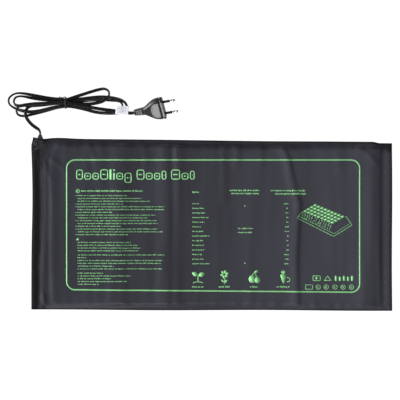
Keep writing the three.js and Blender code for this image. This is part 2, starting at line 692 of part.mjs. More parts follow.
const mat = new THREE.Group();
mat.add(part("bottom_cover", makeBottomCover(), vinylUnderside));
mat.add(part("top_cover", makeTopCover(), vinylGrey));
mat.add(part("insulation_foam", makeLayer(FOAM_Z, FOAM_THICKNESS), foamLook));
mat.add(part("carrier_felt", makeFelt(), feltLook));
mat.add(part("heat_foil", makeLayer(FOIL_Z, FOIL_THICKNESS), foilLook));
for (let index = 0; index < TAPE_COUNT; index++) {
  mat.add(part(`wire_tape_${index + 1}`, tapeStrip(index, 0), tapeLook));
}
mat.add(part("heating_wire", makeWire(), wireLook));
mat.add(part("return_lead", makeReturnLead(), wireLook));
mat.add(part("thermal_fuse", makeFuse(), brightMetal));
mat.add(part("fuse_sleeve", makeFuseSleeve(), sleeveLook));
mat.add(part("junction_base", makeJunctionHalf(RIM_Z), plasticBlack));
mat.add(part("junction_lid", makeJunctionHalf(RIM_Z + JUNCTION_HALF + PLY_GAP), plasticBlack));
mat.add(part("splice_crimp_live", makeCrimp(CHANNEL_LIVE), brightMetal));
mat.add(part("splice_crimp_neutral", makeCrimp(CHANNEL_NEUTRAL), brightMetal));
mat.add(part("lead_core_live", makeCore(1, CHANNEL_LIVE), material(0x7a4a24, 0.5)));
mat.add(part("lead_core_neutral", makeCore(-1, CHANNEL_NEUTRAL), material(0x2b4c9b, 0.5)));
mat.add(part("cord_gland", makeGland(), vinylBlack));
mat.add(part("mat_lead", makeMatLead(), vinylBlack));
mat.add(part("cord_hank", makeHank(), vinylBlack));
mat.add(part("twist_tie", makeTwistTie(), plasticBlack));
mat.add(part("cord_tag", makeTag(), tagLook));
const plug = placePlug(makePlug());
mat.add(plug);
mat.add(part("plug_lead", makePlugLead(plug), vinylBlack));

export default mat;
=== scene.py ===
"""Seedling heat mat: the visible model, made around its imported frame."""
import math
import random

import bmesh
import bpy
from bpy.props import FloatProperty, FloatVectorProperty, IntProperty, PointerProperty
from mathutils import Matrix, Vector, noise
from mathutils.bvhtree import BVHTree


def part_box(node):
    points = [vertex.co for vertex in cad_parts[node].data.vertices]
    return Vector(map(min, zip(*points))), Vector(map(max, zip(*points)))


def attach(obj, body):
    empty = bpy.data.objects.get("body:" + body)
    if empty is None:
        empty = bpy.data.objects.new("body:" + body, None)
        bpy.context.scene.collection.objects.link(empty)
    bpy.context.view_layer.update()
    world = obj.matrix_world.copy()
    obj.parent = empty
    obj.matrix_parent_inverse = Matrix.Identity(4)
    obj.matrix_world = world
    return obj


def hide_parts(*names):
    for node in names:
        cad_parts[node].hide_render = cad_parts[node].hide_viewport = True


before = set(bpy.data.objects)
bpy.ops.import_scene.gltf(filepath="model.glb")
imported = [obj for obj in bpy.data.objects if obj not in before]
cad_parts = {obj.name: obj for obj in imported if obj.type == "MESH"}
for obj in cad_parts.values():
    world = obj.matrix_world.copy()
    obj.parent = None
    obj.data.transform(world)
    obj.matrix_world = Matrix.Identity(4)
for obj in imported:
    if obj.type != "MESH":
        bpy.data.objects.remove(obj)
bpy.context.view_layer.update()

bl_info = {
    "name": "Seedling Heat Mat",
    "version": (1, 0, 0),
    "blender": (4, 5, 0),
    "location": "View3D > Sidebar > Heat Mat",
    "description": "Builds a vinyl seedling heat mat, its printed cover, its tied lead and its plug",
    "category": "Object",
}

MM = 0.001
BODY = "root"

# ---- places taken from the frame, in millimetres ----


def node_box(name):
    low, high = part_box(name)
    return low / MM, high / MM


MAT_LOW, MAT_HIGH = node_box("top_cover")
HALF_LENGTH = (MAT_HIGH.x - MAT_LOW.x) / 2
HALF_WIDTH = (MAT_HIGH.y - MAT_LOW.y) / 2
PAD_TOP = node_box("heat_foil")[1].z + 0.5  # upper side of the cover where it lies on the pad
GLAND_LOW, GLAND_HIGH = node_box("cord_gland")
EXIT = Vector(((GLAND_LOW.x + GLAND_HIGH.x) / 2, GLAND_HIGH.y, (GLAND_LOW.z + GLAND_HIGH.z) / 2))
JUNCTION_LOW, JUNCTION_HIGH = node_box("junction_lid")
JUNCTION = (JUNCTION_LOW + JUNCTION_HIGH) / 2
TAG_LOW, TAG_HIGH = node_box("cord_tag")

# The plug's own frame: +X is the way the pins point, x = 0 the face that they stand on.
PLUG_YAW, PLUG_PITCH, PLUG_ROLL = 9, -10, 30  # degrees: its pins point up, its far side is raised
PLUG_TURN = (
    Matrix.Rotation(math.radians(PLUG_YAW), 4, "Z")
    @ Matrix.Rotation(math.radians(PLUG_PITCH), 4, "Y")
    @ Matrix.Rotation(math.radians(PLUG_ROLL), 4, "X")
)
PIN_MIDDLE = 6.0  # from that face to the middle of a pin's whole length


def plug_frame():
    """Where the plug lies, from the middle of its two pins."""
    middle = sum((corner for name in ("pin_near", "pin_far") for corner in node_box(name)), Vector()) / 4
    return Matrix.Translation(middle - PLUG_TURN @ Vector((PIN_MIDDLE, 0, 0))) @ PLUG_TURN


PLUG = plug_frame()
PLUG_LENGTH = 45.3

# ---- settings that a user would change ----


class HeatMatCoverSettings(bpy.types.PropertyGroup):
    """Film, folds and print of the mat."""

    film: FloatProperty(
        name="Film", description="Thickness of each cover", default=0.38 * MM, unit="LENGTH")
    fold_height: FloatProperty(
        name="Fold height", description="How high the folds stand", default=1.9, min=0, max=2)
    vinyl: FloatVectorProperty(
        name="Vinyl", description="Colour of the covers", default=(0.024, 0.024, 0.033), subtype="COLOR")
    ink: FloatVectorProperty(
        name="Ink", description="Colour of the print", default=(0.25, 0.62, 0.25), subtype="COLOR")


class HeatMatLeadSettings(bpy.types.PropertyGroup):
    """The flat two-core lead and its hank."""

    width: FloatProperty(name="Width", description="Across the two cores", default=5 * MM, unit="LENGTH")
    thickness: FloatProperty(
        name="Thickness", description="Over one core", default=2.8 * MM, unit="LENGTH")
    steps: IntProperty(
        name="Steps", description="Stations between two route points", default=5, min=2, max=12)
    sheath: FloatVectorProperty(
        name="Sheath", description="Colour of the lead and the plug", default=(0.006, 0.006, 0.007),
        subtype="COLOR")


class HeatMatStageSettings(bpy.types.PropertyGroup):
    """Camera, floor and lights."""

    distance: FloatProperty(
        name="Distance", description="Camera above the floor", default=2.5, unit="LENGTH")
    field: FloatProperty(
        name="Field", description="Width that the camera takes in", default=0.5865, unit="LENGTH")
    key_power: FloatProperty(
        name="Key", description="Light from beyond the lead's end", default=215, unit="POWER")
    fill_power: FloatProperty(
        name="Fill", description="Light over the far end", default=1.5, unit="POWER")
    plug_power: FloatProperty(
        name="Plug", description="Light that the plug's face mirrors", default=4, unit="POWER")


# ---- shared helpers ----


def piece(name, bm, material, replaces=(), smooth=True):
    """A finished object from a bmesh in millimetres, riding on the mat."""
    bmesh.ops.scale(bm, vec=(MM, MM, MM), verts=bm.verts)
    mesh = bpy.data.meshes.new(name)
    bm.to_mesh(mesh)
    bm.free()
    mesh.shade_smooth() if smooth else mesh.shade_flat()
    made = bpy.data.objects.new(name, mesh)
    bpy.context.scene.collection.objects.link(made)
    mesh.materials.append(material)
    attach(made, BODY)
    if replaces:
        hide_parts(*replaces)
    return made


def smooth_step(low, high, value):
    """0 up to low, 1 from high on (or the other way round), and an even ease between them."""
    share = min(1.0, max(0.0, (value - low) / (high - low)))
    return share * share * (3 - 2 * share)


def bell(distance, reach):
    """1 at no distance, fading to nothing past about twice the reach."""
    return math.exp(-((distance / reach) ** 2))


def mix(a, b, share):
    return a + (b - a) * share


def rounded_ring(width, height, corner, steps=4):
    """Points of a rounded rectangle about its centre."""
    corner = min(corner, width / 2 - 0.01, height / 2 - 0.01)
    ring = []
    for quarter, (sx, sy) in enumerate(((1, 1), (-1, 1), (-1, -1), (1, -1))):
        for step in range(steps + 1):
            angle = math.radians(90 * quarter + 90 * step / steps)
            ring.append((
                sx * (width / 2 - corner) + corner * math.cos(angle),
                sy * (height / 2 - corner) + corner * math.sin(angle)))
    return ring


def loft(bm, rings):
    """A closed body through rings of points, each with the same number of them."""
    verts = [bm.verts.new(p) for p in rings[0]]
    loop = [bm.edges.new(pair) for pair in zip(verts, verts[1:] + verts[:1])]
    bmesh.ops.contextual_create(bm, geom=verts)
    for ring in rings[1:]:
        made = bmesh.ops.extrude_edge_only(bm, edges=loop)["geom"]
        follower = {}
        fresh = {g for g in made if isinstance(g, bmesh.types.BMVert)}
        for vert in verts:
            follower[vert] = next(e.other_vert(vert) for e in vert.link_edges if e.other_vert(vert) in fresh)
        verts = [follower[vert] for vert in verts]
        for vert, place in zip(verts, ring):
            vert.co = place
        loop = [g for g in made if isinstance(g, bmesh.types.BMEdge)
                and g.verts[0] in fresh and g.verts[1] in fresh]
    bmesh.ops.contextual_create(bm, geom=verts)
    bmesh.ops.recalc_face_normals(bm, faces=bm.faces)


def block(bm, low, high):
    """A box between two corners."""
    low, high = Vector(low), Vector(high)
    place = Matrix.Translation((low + high) / 2) @ Matrix.Diagonal((*(high - low), 1))
    bmesh.ops.create_cube(bm, size=1, matrix=place)


def carve(bm, cutter):
    """The body with the cutter taken out of it. Both are bmeshes, and both are used up."""
    made = []
    for name, source in (("carved", bm), ("cutter", cutter)):
        mesh = bpy.data.meshes.new(name)
        source.to_mesh(mesh)
        source.free()
        made.append(bpy.data.objects.new(name, mesh))
        bpy.context.scene.collection.objects.link(made[-1])
    body, tool = made
    cut = body.modifiers.new("cut", "BOOLEAN")
    cut.operation, cut.object, cut.solver = "DIFFERENCE", tool, "EXACT"
    evaluated = body.evaluated_get(bpy.context.evaluated_depsgraph_get())
    result = bmesh.new()
    result.from_mesh(evaluated.to_mesh())
    for obj in made:
        bpy.data.objects.remove(obj)
    return result


def turned(bm, profile, steps=28):
    """A profile of (x, radius) spun about X."""
    verts = [bm.verts.new((x, r, 0)) for x, r in profile]
    edges = [bm.edges.new(pair) for pair in zip(verts, verts[1:])]
    bmesh.ops.spin(bm, geom=verts + edges, cent=(0, 0, 0), axis=(1, 0, 0), angle=math.tau, steps=steps,
                   use_merge=True)
    bmesh.ops.remove_doubles(bm, verts=bm.verts, dist=1e-4)
    bmesh.ops.recalc_face_normals(bm, faces=bm.faces)


def from_exit(x, y, z):
    return Vector((EXIT.x + x, EXIT.y + y, z))


def stamp(bm, x0, y0, x1, y1, step=2.2):
    """A flat rectangle, divided so that it can follow the cover."""
    across, down = max(1, math.ceil((x1 - x0) / step)), max(1, math.ceil((y1 - y0) / step))
    place = Matrix.Translation(((x0 + x1) / 2, (y0 + y1) / 2, 0)) @ Matrix.Diagonal((x1 - x0, y1 - y0, 1, 1))
    bmesh.ops.create_grid(bm, x_segments=across, y_segments=down, size=0.5, matrix=place)


def thicken(obj, thickness):
    """Gives an open sheet that faces up its thickness, downwards."""
    wall = obj.modifiers.new("film", "SOLIDIFY")
    wall.thickness = thickness * MM
    wall.offset = -1
    wall.use_rim = True


# ---- materials ----


def new_material(name):
    material = bpy.data.materials.new(name)
    material.use_nodes = True
    return material, material.node_tree, material.node_tree.nodes["Principled BSDF"]


def setup(node, **values):
    """Sets a node's inputs by name, an underscore standing for a space."""
    for name, value in values.items():
        node.inputs[name.replace("_", " ")].default_value = value
    return node


def remap(tree, source, low, high, to_low, to_high):
    """A socket's value moved from one range to another."""
    node = tree.nodes.new("ShaderNodeMapRange")
    setup(node, From_Min=low, From_Max=high, To_Min=to_low, To_Max=to_high)
    tree.links.new(source, node.inputs["Value"])
    return node.outputs[0]


def product(tree, first, second):
    """Two colours multiplied, the first of them plain or from a socket."""
    node = tree.nodes.new("ShaderNodeMix")
    node.data_type, node.blend_type = "RGBA", "MULTIPLY"
    node.inputs["Factor"].default_value = 1
    if isinstance(first, tuple):
        node.inputs["A"].default_value = first
    else:
        tree.links.new(first, node.inputs["A"])
    tree.links.new(second, node.inputs["B"])
    return node.outputs["Result"]


def grain_group():
    """Moulded grain: a fine height, and a broad mottle that can be stretched across the mat."""
    found = bpy.data.node_groups.get("Vinyl grain")
    if found:
        return found
    group = bpy.data.node_groups.new("Vinyl grain", "ShaderNodeTree")
    for label in ("Grain scale", "Mottle scale", "Stretch"):
        group.interface.new_socket(label, in_out="INPUT", socket_type="NodeSocketFloat")
    for label in ("Height", "Mottle"):
        group.interface.new_socket(label, in_out="OUTPUT", socket_type="NodeSocketFloat")
    nodes = group.nodes
    entry, leave = nodes.new("NodeGroupInput"), nodes.new("NodeGroupOutput")
    place = nodes.new("ShaderNodeTexCoord").outputs["Object"]
    fine = setup(nodes.new("ShaderNodeTexNoise"), Detail=3)
    broad = setup(nodes.new("ShaderNodeTexNoise"), Detail=4, Roughness=0.55)
    stretch = setup(nodes.new("ShaderNodeCombineXYZ"), Y=1, Z=1)
    pull = nodes.new("ShaderNodeVectorMath")
    pull.operation = "MULTIPLY"
    for source, target in (
        (place, fine.inputs["Vector"]),
        (entry.outputs["Grain scale"], fine.inputs["Scale"]),
        (entry.outputs["Stretch"], stretch.inputs["X"]),
        (place, pull.inputs[0]),
        (stretch.outputs[0], pull.inputs[1]),
        (pull.outputs[0], broad.inputs["Vector"]),
        (entry.outputs["Mottle scale"], broad.inputs["Scale"]),
        (fine.outputs["Fac"], leave.inputs["Height"]),
        (broad.outputs["Fac"], leave.inputs["Mottle"]),
    ):
        group.links.new(source, target)
    return group


def grained(name, colour, roughness, metallic=0.0, grain=900.0, bump=0.15, depth=0.00004, spread=0.25,
            mottle=40.0, coat=0.0, stretch=1.0, specular=0.5):
    """A material with mottled colour, uneven gloss and a fine moulded grain."""
    found = bpy.data.materials.get(name)
    if found:
        return found
    material, tree, shader = new_material(name)
    group = tree.nodes.new("ShaderNodeGroup")
    group.node_tree = grain_group()
    setup(group, Grain_scale=grain, Mottle_scale=mottle, Stretch=stretch)
    mottled = group.outputs["Mottle"]
    shade = remap(tree, mottled, 0.3, 0.7, 1 - spread / 2, 1 + spread / 2)
    gloss = remap(tree, mottled, 0.25, 0.75, max(0.03, roughness * 0.85), min(1.0, roughness * 1.15))
    relief = setup(tree.nodes.new("ShaderNodeBump"), Strength=bump, Distance=depth)
    tree.links.new(group.outputs["Height"], relief.inputs["Height"])
    for source, label in (
        (product(tree, (*colour, 1), shade), "Base Color"), (gloss, "Roughness"),
        (relief.outputs[0], "Normal"),
    ):
        tree.links.new(source, shader.inputs[label])
    setup(shader, Metallic=metallic, Specular_IOR_Level=specular, Coat_Weight=coat)
    return material


def cover_material():
    """Satin vinyl whose colour is multiplied by the mesh's tone of painted shade and painted highlights, and
    is duller where that tone is dark.
    """
    colour = tuple(bpy.context.scene.heatmat_cover.vinyl)
    material = grained("vinyl_cover", colour, 0.5, grain=1500, bump=0.12, depth=0.00003,
                       spread=0.16, mottle=9, stretch=2.2, specular=0.32)
    tree = material.node_tree
    inputs = tree.nodes["Principled BSDF"].inputs
    # the tone layer is painted light: painted shade and painted highlights laid over the cover's colour
    layer = tree.nodes.new("ShaderNodeVertexColor")
    layer.layer_name = "painted_light_tone"
    painted_light_tone = layer.outputs["Color"]
    shade = product(tree, inputs["Base Color"].links[0].from_socket, painted_light_tone)
    tree.links.new(shade, inputs["Base Color"])
    total = tree.nodes.new("ShaderNodeMath")
    total.operation = "ADD"
    tree.links.new(inputs["Roughness"].links[0].from_socket, total.inputs[0])
    tree.links.new(remap(tree, painted_light_tone, 0.2, 0.9, 0.4, 0.0), total.inputs[1])
    tree.links.new(total.outputs[0], inputs["Roughness"])
    return material


def ink_material():
    """Screen-printed ink, a little uneven in its cover."""
    ink = tuple(bpy.context.scene.heatmat_cover.ink)
    return grained("print_ink", ink, 0.5, grain=2500, bump=0.1, depth=0.00001, spread=0.3, mottle=700)


def sheath_material():
    return grained("lead_sheath", tuple(bpy.context.scene.heatmat_lead.sheath), 0.36, grain=1800,
                   spread=0.3, mottle=120, specular=0.3)


def plug_material():
    return grained("plug_vinyl", tuple(bpy.context.scene.heatmat_lead.sheath), 0.27, grain=1400,
                   bump=0.25, spread=0.3, mottle=150, coat=0.6, specular=1.0)


# ---- camera, floor and lights ----


VIEW_CENTRE = (-17.1, 35.65)
VIEW_DEPTH = 20
SENSOR_WIDTH = 36
FLOOR_SIZE = 6
FLOOR_DROP = 0.0002  # below the mat's underside, so that the two don't flicker
FLOOR_GLOW = 0.97  # the floor shines by itself, so that next to nothing shades it
WORLD_STRENGTH = 0.16
PLUG_LIGHT_DISTANCE = 1.3


def area_light(name, power, size, place, aim=(0, 0, 0)):
    lamp = bpy.data.lights.new(name, "AREA")
    lamp.shape = "RECTANGLE"
    lamp.size, lamp.size_y = size
    lamp.energy = power
    made = bpy.data.objects.new(name, lamp)
    made.location = place
    made.rotation_euler = (Vector(aim) - Vector(place)).to_track_quat("-Z", "Y").to_euler()
    bpy.context.scene.collection.objects.link(made)


class HEATMAT_OT_stage(bpy.types.Operator):
    """Camera straight above the mat, a white floor and three soft lights"""

    bl_idname = "heatmat.stage"
    bl_label = "Stage"

    def execute(self, context):
        scene, settings = context.scene, context.scene.heatmat_stage
        camera = bpy.data.cameras.new("camera")
        camera.sensor_width = SENSOR_WIDTH
        camera.lens = camera.sensor_width * settings.distance / settings.field
        camera.clip_end = VIEW_DEPTH
        stand = bpy.data.objects.new("camera", camera)
        stand.location = (VIEW_CENTRE[0] * MM, VIEW_CENTRE[1] * MM, settings.distance)
        scene.collection.objects.link(stand)
        scene.camera = stand

        bm = bmesh.new()
        bmesh.ops.create_grid(bm, x_segments=1, y_segments=1, size=FLOOR_SIZE)
        floor_mesh = bpy.data.meshes.new("floor")
        bm.to_mesh(floor_mesh)
        bm.free()
        floor = bpy.data.objects.new("floor", floor_mesh)
        floor.location.z = -FLOOR_DROP
        scene.collection.objects.link(floor)
        material, _, shader = new_material("floor_white")
        setup(shader, Base_Color=(0.14, 0.14, 0.14, 1), Roughness=0.9, Specular_IOR_Level=0.1,
              Emission_Color=(1, 1, 1, 1), Emission_Strength=FLOOR_GLOW)
        floor_mesh.materials.append(material)

        area_light("key_left", settings.key_power, (1.2, 2.6), (-3.2, 0.2, 1.0))
        area_light("over_right", settings.fill_power, (0.3, 0.8), (0.36, 0.0, 0.9), (0.3, 0, 0))
        face = (PLUG.to_3x3() @ Vector((0, 0, 1))).normalized()
        mirrored = 2 * face.z * face - Vector((0, 0, 1))
        plug = PLUG @ Vector((-20, 0, 0)) * MM
        area_light("over_plug", settings.plug_power, (0.3, 0.3), plug + mirrored * PLUG_LIGHT_DISTANCE, plug)

        world = bpy.data.worlds.new("white_room")
        world.use_nodes = True
        setup(world.node_tree.nodes["Background"], Color=(0.97, 0.98, 1.0, 1), Strength=WORLD_STRENGTH)
        scene.world = world
        scene.view_settings.view_transform = "Standard"
        return {"FINISHED"}


# ---- the lead ----

# The lead's route, set out in millimetres from where it leaves the gland: x, y, height of its
# centre above the floor, and how far it stands on its edge in degrees.
UP, LOW, MIDDLE = 51.0, 41.6, 46.4  # the three columns of the tie
TIE = 37.4
TIERS = (1.6, 4.5, 7.4)  # centres of flat passes stacked in the tie

LEAD_FROM_MAT = [
    (0, 0, 3.05, 90), (0, 2.9, 3.0, 85), (-0.8, 5.4, 2.8, 70), (-3.0, 8.1, 2.2, 35), (-6.8, 10.7, 1.7, 10),
    (-11.2, 14.0, 1.6, 0), (-15.5, 18.3, 2.0, 0), (-18.8, 22.9, 3.6, 10), (-20.8, 27.6, 5.1, 25),
    (-21.3, 32, 5.3, 40), (-20.2, 36.2, 5.2, 45), (-17.6, 39.8, 4.6, 35), (-12.6, 42.4, 3.0, 15),
    (-4, 43.8, 1.8, 0), (8, 45, 1.6, 0), (22, 46, 1.6, 0),
]
RIGHT_INNER_LOOP = [
    (TIE, MIDDLE, TIERS[0], 0), (48, 47.6, 1.7, 10), (60, 49.2, 2.2, 25), (74, 50.6, 3.6, 35),
    (88, 51.2, 4.8, 45), (98, 50.8, 4.8, 50), (106, 50.2, 3.8, 50), (112.6, 49.6, 2.9, 60),
    (118.2, 47.6, 2.6, 70), (120.4, 42.3, 2.6, 80), (117.8, 37.4, 2.6, 80), (112.6, 35.4, 2.3, 50),
    (101, 36.2, 1.8, 15), (88, 37.8, 1.6, 0), (72, 40.2, 1.6, 0), (54, 42, 1.6, 0),
]
LEFT_LOWER_LOOP = [
    (TIE, LOW, TIERS[0], 0), (26, 40.2, 1.6, 0), (14, 37, 1.6, 10), (2, 33.6, 1.8, 15),
    (-10, 30.4, 2.1, 35), (-19, 28.1, 2.4, 60), (-27.4, 27.6, 2.5, 65), (-32.6, 29.8, 2.6, 75),
    (-34.8, 35, 2.6, 90), (-32.6, 40.2, 2.6, 90), (-27.4, 42.3, 2.7, 80), (-20, 42.6, 3.0, 50),
    (-10, 42.6, 3.6, 20), (4, 43.6, 4.2, 5), (20, 45.4, 4.5, 0),
]
RIGHT_UPPER_LOOP = [
    (TIE, MIDDLE, TIERS[1], 0), (48, 45.4, 4.3, 0), (60, 44.6, 3.2, 0), (72, 45, 2.0, 0),
    (82, 46.4, 1.6, 0), (91, 49, 1.6, 10), (97.2, 53, 2.2, 45), (100.8, 58.2, 2.5, 85), (100, 64, 2.6, 80),
    (94.2, 67.2, 2.4, 55), (86, 66.2, 2.2, 30), (76, 63.4, 2.0, 20),
    (64, 59.6, 1.9, 15), (52, 55.6, 3.2, 10), (44, 52.8, 4.2, 0),
]
LEFT_OUTER_LOOP = [
    (TIE, UP, TIERS[1], 0), (26, 52, 4.2, 0), (12, 53.6, 3.8, 5), (-2, 56.2, 3.5, 15),
    (-14, 58.6, 3.1, 35), (-25, 60.6, 2.7, 60), (-34, 60.8, 2.6, 80), (-41.4, 57.8, 2.6, 90),
    (-46, 52.2, 2.6, 90), (-45.6, 46, 2.6, 90), (-41, 41, 2.6, 80), (-33.6, 37.4, 2.6, 50),
    (-25, 34.8, 5.9, 10), (-15, 33.4, 5.4, 10), (-4, 34.4, 4.4, 25), (8, 37, 3.8, 20), (22, 40.2, 4.2, 0),
]
RIGHT_OUTER_LOOP = [
    (TIE, LOW, TIERS[1], 0), (46, 41.2, 4.4, 0), (56, 39.4, 3.6, 0), (68, 36.6, 2.2, 5),
    (80, 33.4, 1.7, 10), (94, 31.6, 2.0, 30), (108, 31.2, 2.4, 60), (118, 32, 2.6, 85),
    (125, 35.2, 2.6, 85), (127.2, 40.6, 2.6, 75), (124.4, 46.8, 2.6, 60), (118.2, 51, 2.8, 50),
    (109, 53.7, 3.8, 50), (98, 55.2, 4.9, 50), (87, 55.4, 4.9, 40), (74, 54.2, 3.6, 30),
    (60, 52.4, 2.2, 15), (48, 51.4, 1.7, 0),
]
LEFT_INNER_LOOP = [
    (TIE, UP, TIERS[0], 0), (24, 51, 1.6, 0), (10, 51.2, 1.7, 5), (-4, 52.4, 2.0, 20),
    (-15, 54.2, 2.2, 45), (-24, 56, 2.5, 70), (-31.2, 56.2, 2.6, 85), (-36.4, 54, 2.6, 90),
    (-38.5, 48.8, 3.0, 90), (-36.4, 44, 4.4, 70), (-30.6, 42, 6.7, 20), (-20, 43.6, 7.7, 5),
    (-8, 45, 7.7, 0), (6, 45.6, 7.6, 0), (22, 46.2, 7.4, 0),
]
LEAD_TO_PLUG = [
    (TIE, MIDDLE, TIERS[2], 0), (48, 45, 7.2, 0), (60, 42.6, 6.4, 0), (74, 40, 5.0, 0), (88, 37.6, 4.6, 0),
    (102, 35.2, 5.0, 0), (113, 33.2, 6.2, 0), (121, 32.2, 7.0, 0), (128.5, 31.7, 6.6, 8),
]
PASSES = (
    LEAD_FROM_MAT, RIGHT_INNER_LOOP, LEFT_LOWER_LOOP, RIGHT_UPPER_LOOP, LEFT_OUTER_LOOP,
    RIGHT_OUTER_LOOP, LEFT_INNER_LOOP, LEAD_TO_PLUG,
)


def lead_route():
    """The route's points in the mat's frame, each with its tilt, and the last one at the boot."""
    points = [(EXIT.x + x, EXIT.y + y, z, tilt) for route in PASSES for x, y, z, tilt in route]
    boot = PLUG @ Vector((-PLUG_LENGTH - 0.1, 0, 0))
    before = PLUG @ Vector((-PLUG_LENGTH - 3.5, 0, 0))
    return points + [(*before, 20), (*boot, 30)]


def spline_points(points, steps):
    """Stations on a smooth curve through the points (Catmull-Rom, by the distance between points)."""
    rows = [Vector(p) for p in points]
    rows = [rows[0] * 2 - rows[1], *rows, rows[-1] * 2 - rows[-2]]
    stations = []
    for a, b, c, d in zip(rows, rows[1:], rows[2:], rows[3:]):
        times = [0.0]
        for p, q in ((a, b), (b, c), (c, d)):
            times.append(times[-1] + max(1e-3, (q.xyz - p.xyz).length) ** 0.5)
        for step in range(steps):
            t = mix(times[1], times[2], step / steps)

            def blend(p, q, t0, t1):
                return p * ((t1 - t) / (t1 - t0)) + q * ((t - t0) / (t1 - t0))

            ab, bc, cd = blend(a, b, *times[0:2]), blend(b, c, *times[1:3]), blend(c, d, *times[2:4])
            abc, bcd = blend(ab, bc, times[0], times[2]), blend(bc, cd, times[1], times[3])
            stations.append(blend(abc, bcd, times[1], times[2]))
    return stations + [rows[-2]]


def flex_section(width, thickness, sides=7):
    """Outline of the flat lead: two round cores with a shallow groove between them."""
    radius, offset = thickness / 2, (width - thickness) / 2
    outline = []
    for side in (1, -1):
        for step in range(sides + 1):
            angle = math.radians(-90 + 180 * step / sides)
            outline.append((side * (offset + radius * math.cos(angle)), side * radius * math.sin(angle)))
        outline.append((0, side * radius * 0.86))
    return outline


def sweep(bm, stations, outline, tilts):
    """Rings of an outline along stations, bridged into one closed tube."""
    rings = []
    count = len(stations)
    for i, place in enumerate(stations):
        ahead = (stations[min(i + 1, count - 1)] - stations[max(i - 1, 0)]).normalized()
        side = Vector((-ahead.y, ahead.x, 0)).normalized()
        lift = ahead.cross(side)
        turn = math.radians(tilts[i])
        across = side * math.cos(turn) + lift * math.sin(turn)
        up = -side * math.sin(turn) + lift * math.cos(turn)
        rings.append([bm.verts.new(place + across * a + up * b) for a, b in outline])
    for ring, following in zip(rings, rings[1:]):
        for k in range(len(ring)):
            n = (k + 1) % len(ring)
            bm.faces.new((ring[k], ring[n], following[n], following[k]))
    bm.faces.new(rings[0])
    bm.faces.new(rings[-1])
    bmesh.ops.recalc_face_normals(bm, faces=bm.faces)


class HEATMAT_OT_lead(bpy.types.Operator):
    """The whole lead, from the gland through the hank to the plug"""

    bl_idname = "heatmat.lead"
    bl_label = "Lead"

    def execute(self, context):
        settings = context.scene.heatmat_lead
        smooth = spline_points(lead_route(), settings.steps)
        stations = [p.xyz for p in smooth]
        outline = flex_section(settings.width / MM, settings.thickness / MM)
        bm = bmesh.new()
        sweep(bm, stations, outline, [p.w for p in smooth])
        lead = piece("lead", bm, sheath_material(), ["mat_lead", "cord_hank", "plug_lead"])
        lead["route"] = [c * MM for p in stations for c in p]
        return {"FINISHED"}


# ---- gland, plug, tie and tag ----


GLAND_LENGTH = 16
GLAND_REACH = 5.4  # how much of it stands out of the mat
GLAND_FOOT, GLAND_TIP = (8.4, 3.9), (4.3, 5.8)  # width and height at the mat's edge and at its tip
GLAND_CORNER = 1.3
GLAND_RIBS = 4
RIB_SHAPE = ((0.08, 0.0), (0.3, 0.8), (0.7, 0.8), (0.92, 0.0))  # share of a rib's room, how far it swells


class HEATMAT_OT_gland(bpy.types.Operator):
    """The ribbed strain relief at the corner of the mat"""

    bl_idname = "heatmat.gland"
    bl_label = "Gland"

    def execute(self, context):
        tip = EXIT.y
        edge = tip - GLAND_REACH
        (wide, flat), (narrow, deep) = GLAND_FOOT, GLAND_TIP
        sections = [(tip - GLAND_LENGTH, wide, flat - 0.1), (edge, wide, flat)]
        for rib in range(GLAND_RIBS):
            for part, swell in RIB_SHAPE:
                share = (rib + part) / GLAND_RIBS
                sections.append((
                    mix(edge, tip, share), mix(wide, narrow, share ** 1.5) - 0.8 + swell,
                    mix(flat, deep, share) - 0.4 + swell))
        rings = []
        for y, width, height in sections:
            middle = mix(GLAND_LOW.z + 0.4 + flat / 2, EXIT.z, smooth_step(edge, tip, y))
            rings.append([(EXIT.x + a, y, middle + b) for a, b in rounded_ring(width, height, GLAND_CORNER)])
        bm = bmesh.new()
        loft(bm, rings)
        piece("strain_relief", bm, plug_material(), ["cord_gland"])
        return {"FINISHED"}


# Plug sections from the pin face back to the lead: x, width, thickness, corner.
PLUG_SECTIONS = [
    (-0.05, 31.0, 11.2, 5.0), (-0.35, 33.4, 12.8, 5.6), (-1.1, 34.6, 13.4, 6.0), (-3.4, 34.6, 13.4, 6.0),
    (-4.0, 34.2, 13.0, 6.0), (-4.2, 32.6, 11.6, 5.4), (-5.2, 32.6, 11.6, 5.4), (-5.4, 34.0, 12.8, 5.8),
    (-6.0, 34.6, 13.4, 6.0), (-9, 34.0, 13.5, 6.2), (-13, 32.6, 13.5, 6.4), (-16, 30.0, 13.3, 6.4),
    (-19, 26.6, 12.8, 6.2), (-22, 22.6, 12.0, 5.8), (-25, 18.4, 10.8, 5.2), (-28, 14.2, 9.4, 4.4),
    (-30.3, 11.8, 8.6, 3.9), (-33, 11.3, 8.2, 3.4), (-38, 10.6, 7.4, 3.0), (-43, 9.4, 6.4, 2.7),
    (-44.8, 8.6, 6.0, 2.6), (-45.2, 7.6, 5.2, 2.4),
]


PIN_POCKET = ((-6.3, -13.7, -4.2), (1, 13.7, 4.2))
SLOT_PITCH = 2.25
PIN_HALF_SPACING = 9.3
GRIP_RIM = ((-0.9, -12), (-0.9, 12), (-3.5, 12), (-3.5, -12))

# Profiles turned about a pin's own axis: x, radius.
PIN_PROFILE = [
    (-7, 0), (-7, 1.2), (9.9, 1.2), (10.1, 1.9), (10.5, 2), (16.6, 2), (17.6, 1.9), (18.4, 1.5),
    (18.85, 0.8), (19, 0),
]
SLEEVE_PROFILE = [(-5.7, 1.35), (-5.7, 1.9), (9.6, 1.9), (9.9, 1.75), (9.9, 1.35), (-5.7, 1.35)]


def boot_slots():
    """Staggered slots across the boot, from either side, above and below."""
    cutter = bmesh.new()
    for face in (1, -1):
        for n in range(5):
            x = -33.2 - SLOT_PITCH * n
            across = (-1.2, 7) if n % 2 else (-7, 1.2)
            floor, top = sorted((face * (2.5 - 0.2 * n), face * 6))
            block(cutter, (x - 0.55, across[0], floor), (x + 0.55, across[1], top))
    return cutter


